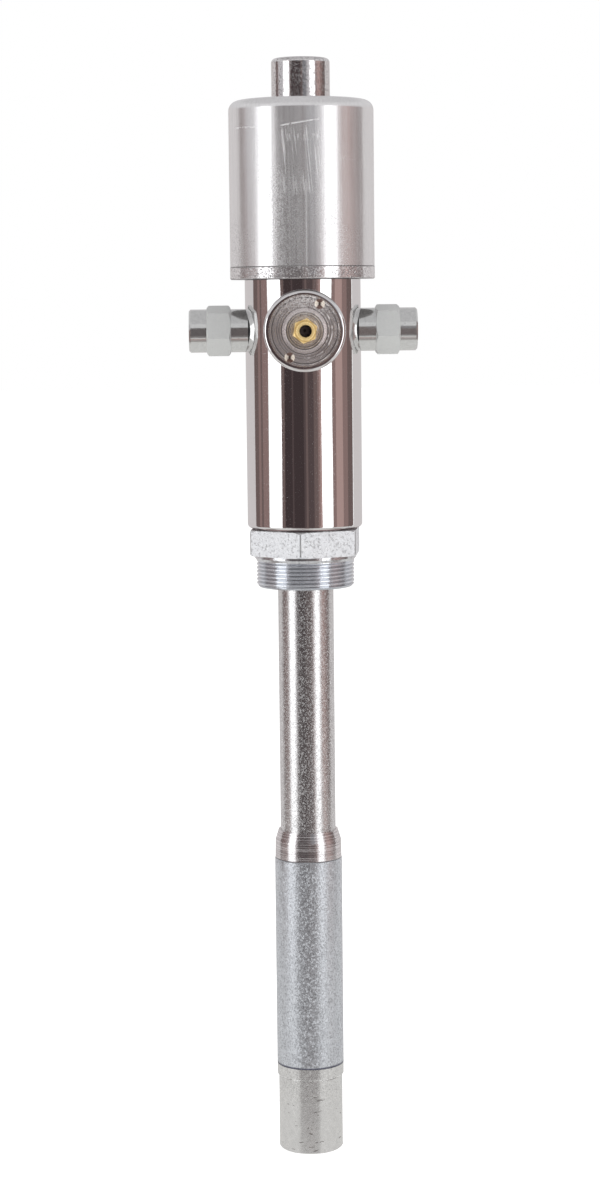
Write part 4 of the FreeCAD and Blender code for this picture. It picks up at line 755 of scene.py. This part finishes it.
def card(name, start, end, colour, low=KNEE, high=BROW, radius=FAR):
    """An upright curved card round the pump, between two angles from the front towards +X."""
    mesh = bmesh.new()
    first = math.radians(start - 90)
    steps = max(2, int((end - start) / CARD_STEP_DEGREES))
    points = [mesh.verts.new((radius * math.cos(first), radius * math.sin(first), height))
              for height in (low, high)]
    edge = mesh.edges.new(points)
    bmesh.ops.spin(mesh, geom=points + [edge], cent=(0, 0, 0), axis=(0, 0, 1), dvec=(0, 0, 0),
                   angle=math.radians(end - start), steps=steps, use_merge=False)
    show_in_metal(mesh, name, colour)


def flat_card(name, height, colour):
    """A level round card over or under the studio, which closes the ring of upright ones."""
    mesh = bmesh.new()
    bmesh.ops.create_circle(mesh, cap_ends=True, segments=48, radius=FAR)
    bmesh.ops.translate(mesh, verts=mesh.verts[:], vec=(0, 0, height))
    show_in_metal(mesh, name, colour)


CARDS = [
    ("back_left", -180, -116, PALE), ("side_left_a", -116, -103, UMBER), ("side_left_b", -103, -96, BROWN),
    ("side_left_c", -96, -91, UMBER), ("side_left_d", -91, -76, BROWN), ("window_left", -74, -47, WHITE),
    ("front_left_a", -47, -40, UMBER), ("front_left_b", -40, -25, BLACK), ("front_left_c", -25, -22, SMOKE),
    ("front_a", -22, -2, BLACK), ("front_b", -2, 2, SMOKE), ("front_c", 2, 6, UMBER),
    ("front_d", 6, 18, SMOKE), ("front_e", 18, 26, UMBER), ("front_f", 26, 30, BROWN),
    ("front_g", 30, 34, TAN), ("window_right", 34, 56, WHITE),
    ("side_right_a", 57, 65, BROWN), ("side_right_b", 65, 82, TAN),
    ("side_right_c", 82, 95, BROWN), ("side_right_d", 95, 111, UMBER), ("back_right", 113, 180, PALE)]
for label, start, end, colour in CARDS:
    card(f"card_{label}", start, end, colour)
card("card_high_left", -99, -73, LILAC, low=BRIM, radius=NEAR)
card("card_high_middle", 6, 22, SLATE, low=BRIM, radius=NEAR)
card("card_high_right", 22, 34, LILAC, low=BRIM, radius=NEAR)
card("card_soft_box", -180, 180, SOFT_BOX, low=BROW, high=CEILING)
card("card_shade", -40, 30, SHADE, low=FOOT_LINE, high=KNEE)
card("card_apron_front", -40, 30, GROUND, low=PIT, high=FOOT_LINE)
card("card_apron_round", 30, 320, GROUND, low=PIT, high=KNEE)
card("card_rust", -10, 8, RUST, low=DEEP_TOP, high=RUST_TOP, radius=NEAR)
card("card_deep_left", -145, -90, DEEP, low=PIT, high=DEEP_TOP, radius=NEAR)
card("card_deep_front", -25, 20, DEEP, low=PIT, high=DEEP_TOP, radius=NEAR)
card("card_deep_right", 75, 130, DEEP, low=PIT, high=DEEP_TOP, radius=NEAR)
flat_card("card_overhead", CEILING, OVERHEAD)
flat_card("card_ground", PIT, GROUND)


def make_floor():
    """A wide pale floor that renders white and still takes the pump's shadow."""
    mesh = bmesh.new()
    bmesh.ops.create_grid(mesh, x_segments=1, y_segments=1, size=FLOOR_REACH)
    bmesh.ops.translate(mesh, verts=mesh.verts[:], vec=(0, 0, FLOOR_Z - FLOOR_GAP))
    data = bpy.data.meshes.new("floor")
    mesh.to_mesh(data)
    mesh.free()
    floor = bpy.data.objects.new("floor", data)
    bpy.context.scene.collection.objects.link(floor)
    paint = Finish("floor_white", (0.8, 0.8, 0.8), 0.0, 0.9)
    tone = paint.noise(3, 3, 2.0)
    paint.feed("Base Color", paint.blend(tone, (0.80, 0.80, 0.80, 1.0), (0.82, 0.82, 0.82, 1.0)))
    paint.shader.inputs["Specular IOR Level"].default_value = 0.0
    paint.shader.inputs["Emission Color"].default_value = (1, 1, 1, 1)
    paint.shader.inputs["Emission Strength"].default_value = FLOOR_GLOW
    floor.data.materials.append(paint.material)
    floor.visible_glossy = False


make_floor()


def make_world():
    """White to the camera and in metal, even soft light on everything else."""
    world = bpy.data.worlds.new("studio")
    bpy.context.scene.world = world
    world.use_nodes = True
    tree = world.node_tree
    background = tree.nodes["Background"]
    path = tree.nodes.new("ShaderNodeLightPath")
    seen = tree.nodes.new("ShaderNodeMath")
    seen.operation = "MAXIMUM"
    tree.links.new(path.outputs["Is Camera Ray"], seen.inputs[0])
    tree.links.new(path.outputs["Is Glossy Ray"], seen.inputs[1])
    also = tree.nodes.new("ShaderNodeMath")
    also.operation = "MAXIMUM"
    tree.links.new(seen.outputs[0], also.inputs[0])
    tree.links.new(path.outputs["Is Transmission Ray"], also.inputs[1])
    strength = tree.nodes.new("ShaderNodeMapRange")
    strength.inputs["To Min"].default_value = WORLD_GLOW
    strength.inputs["To Max"].default_value = 1.0
    tree.links.new(also.outputs[0], strength.inputs["Value"])
    tree.links.new(strength.outputs[0], background.inputs["Strength"])
    background.inputs["Color"].default_value = (1, 1, 1, 1)


make_world()


def lamp(name, place, across, high, watts):
    """A soft rectangular lamp that points at the pump and isn't itself seen in metal."""
    data = bpy.data.lights.new(name, "AREA")
    data.shape = "RECTANGLE"
    data.size = across
    data.size_y = high
    data.energy = watts
    light = bpy.data.objects.new(name, data)
    bpy.context.scene.collection.objects.link(light)
    aim = -Vector(place)
    light.matrix_world = Matrix.Translation(place) @ aim.to_track_quat("-Z", "Y").to_matrix().to_4x4()
    light.visible_glossy = False
    light.visible_camera = False


lamp("lamp_left", (-1.6, -1.5, 1.3), 1.0, 1.2, 14)
lamp("lamp_right", (1.7, -1.2, 1.2), 0.8, 1.2, 12)
lamp("lamp_top", (0.2, 0.3, 2.0), 1.2, 1.2, 8)


def make_camera():
    """The photograph's camera, from a fit of the object's edges."""
    distance = 1.5732
    height = 0.1539
    around = math.radians(-1.310)
    heading = around + math.radians(0.131)
    pitch = math.radians(6.621)
    roll = math.radians(-0.608)
    data = bpy.data.cameras.new("camera")
    data.sensor_fit = "VERTICAL"
    data.sensor_height = 36.0
    data.lens = 77.46
    data.clip_start = 0.05
    data.clip_end = 60.0
    camera = bpy.data.objects.new("camera", data)
    bpy.context.scene.collection.objects.link(camera)
    level = math.cos(pitch)
    ahead = Vector((-math.sin(heading) * level, math.cos(heading) * level, -math.sin(pitch)))
    right = Vector((math.cos(heading), math.sin(heading), 0.0))
    up = right.cross(ahead)
    right_rolled = right * math.cos(roll) + up * math.sin(roll)
    up_rolled = up * math.cos(roll) - right * math.sin(roll)
    axes = Matrix((right_rolled, up_rolled, -ahead)).transposed().to_4x4()
    place = Vector((math.sin(around) * distance, -math.cos(around) * distance, height))
    camera.matrix_world = Matrix.Translation(place) @ axes
    bpy.context.scene.camera = camera


make_camera()
bpy.context.scene.view_settings.view_transform = "Standard"
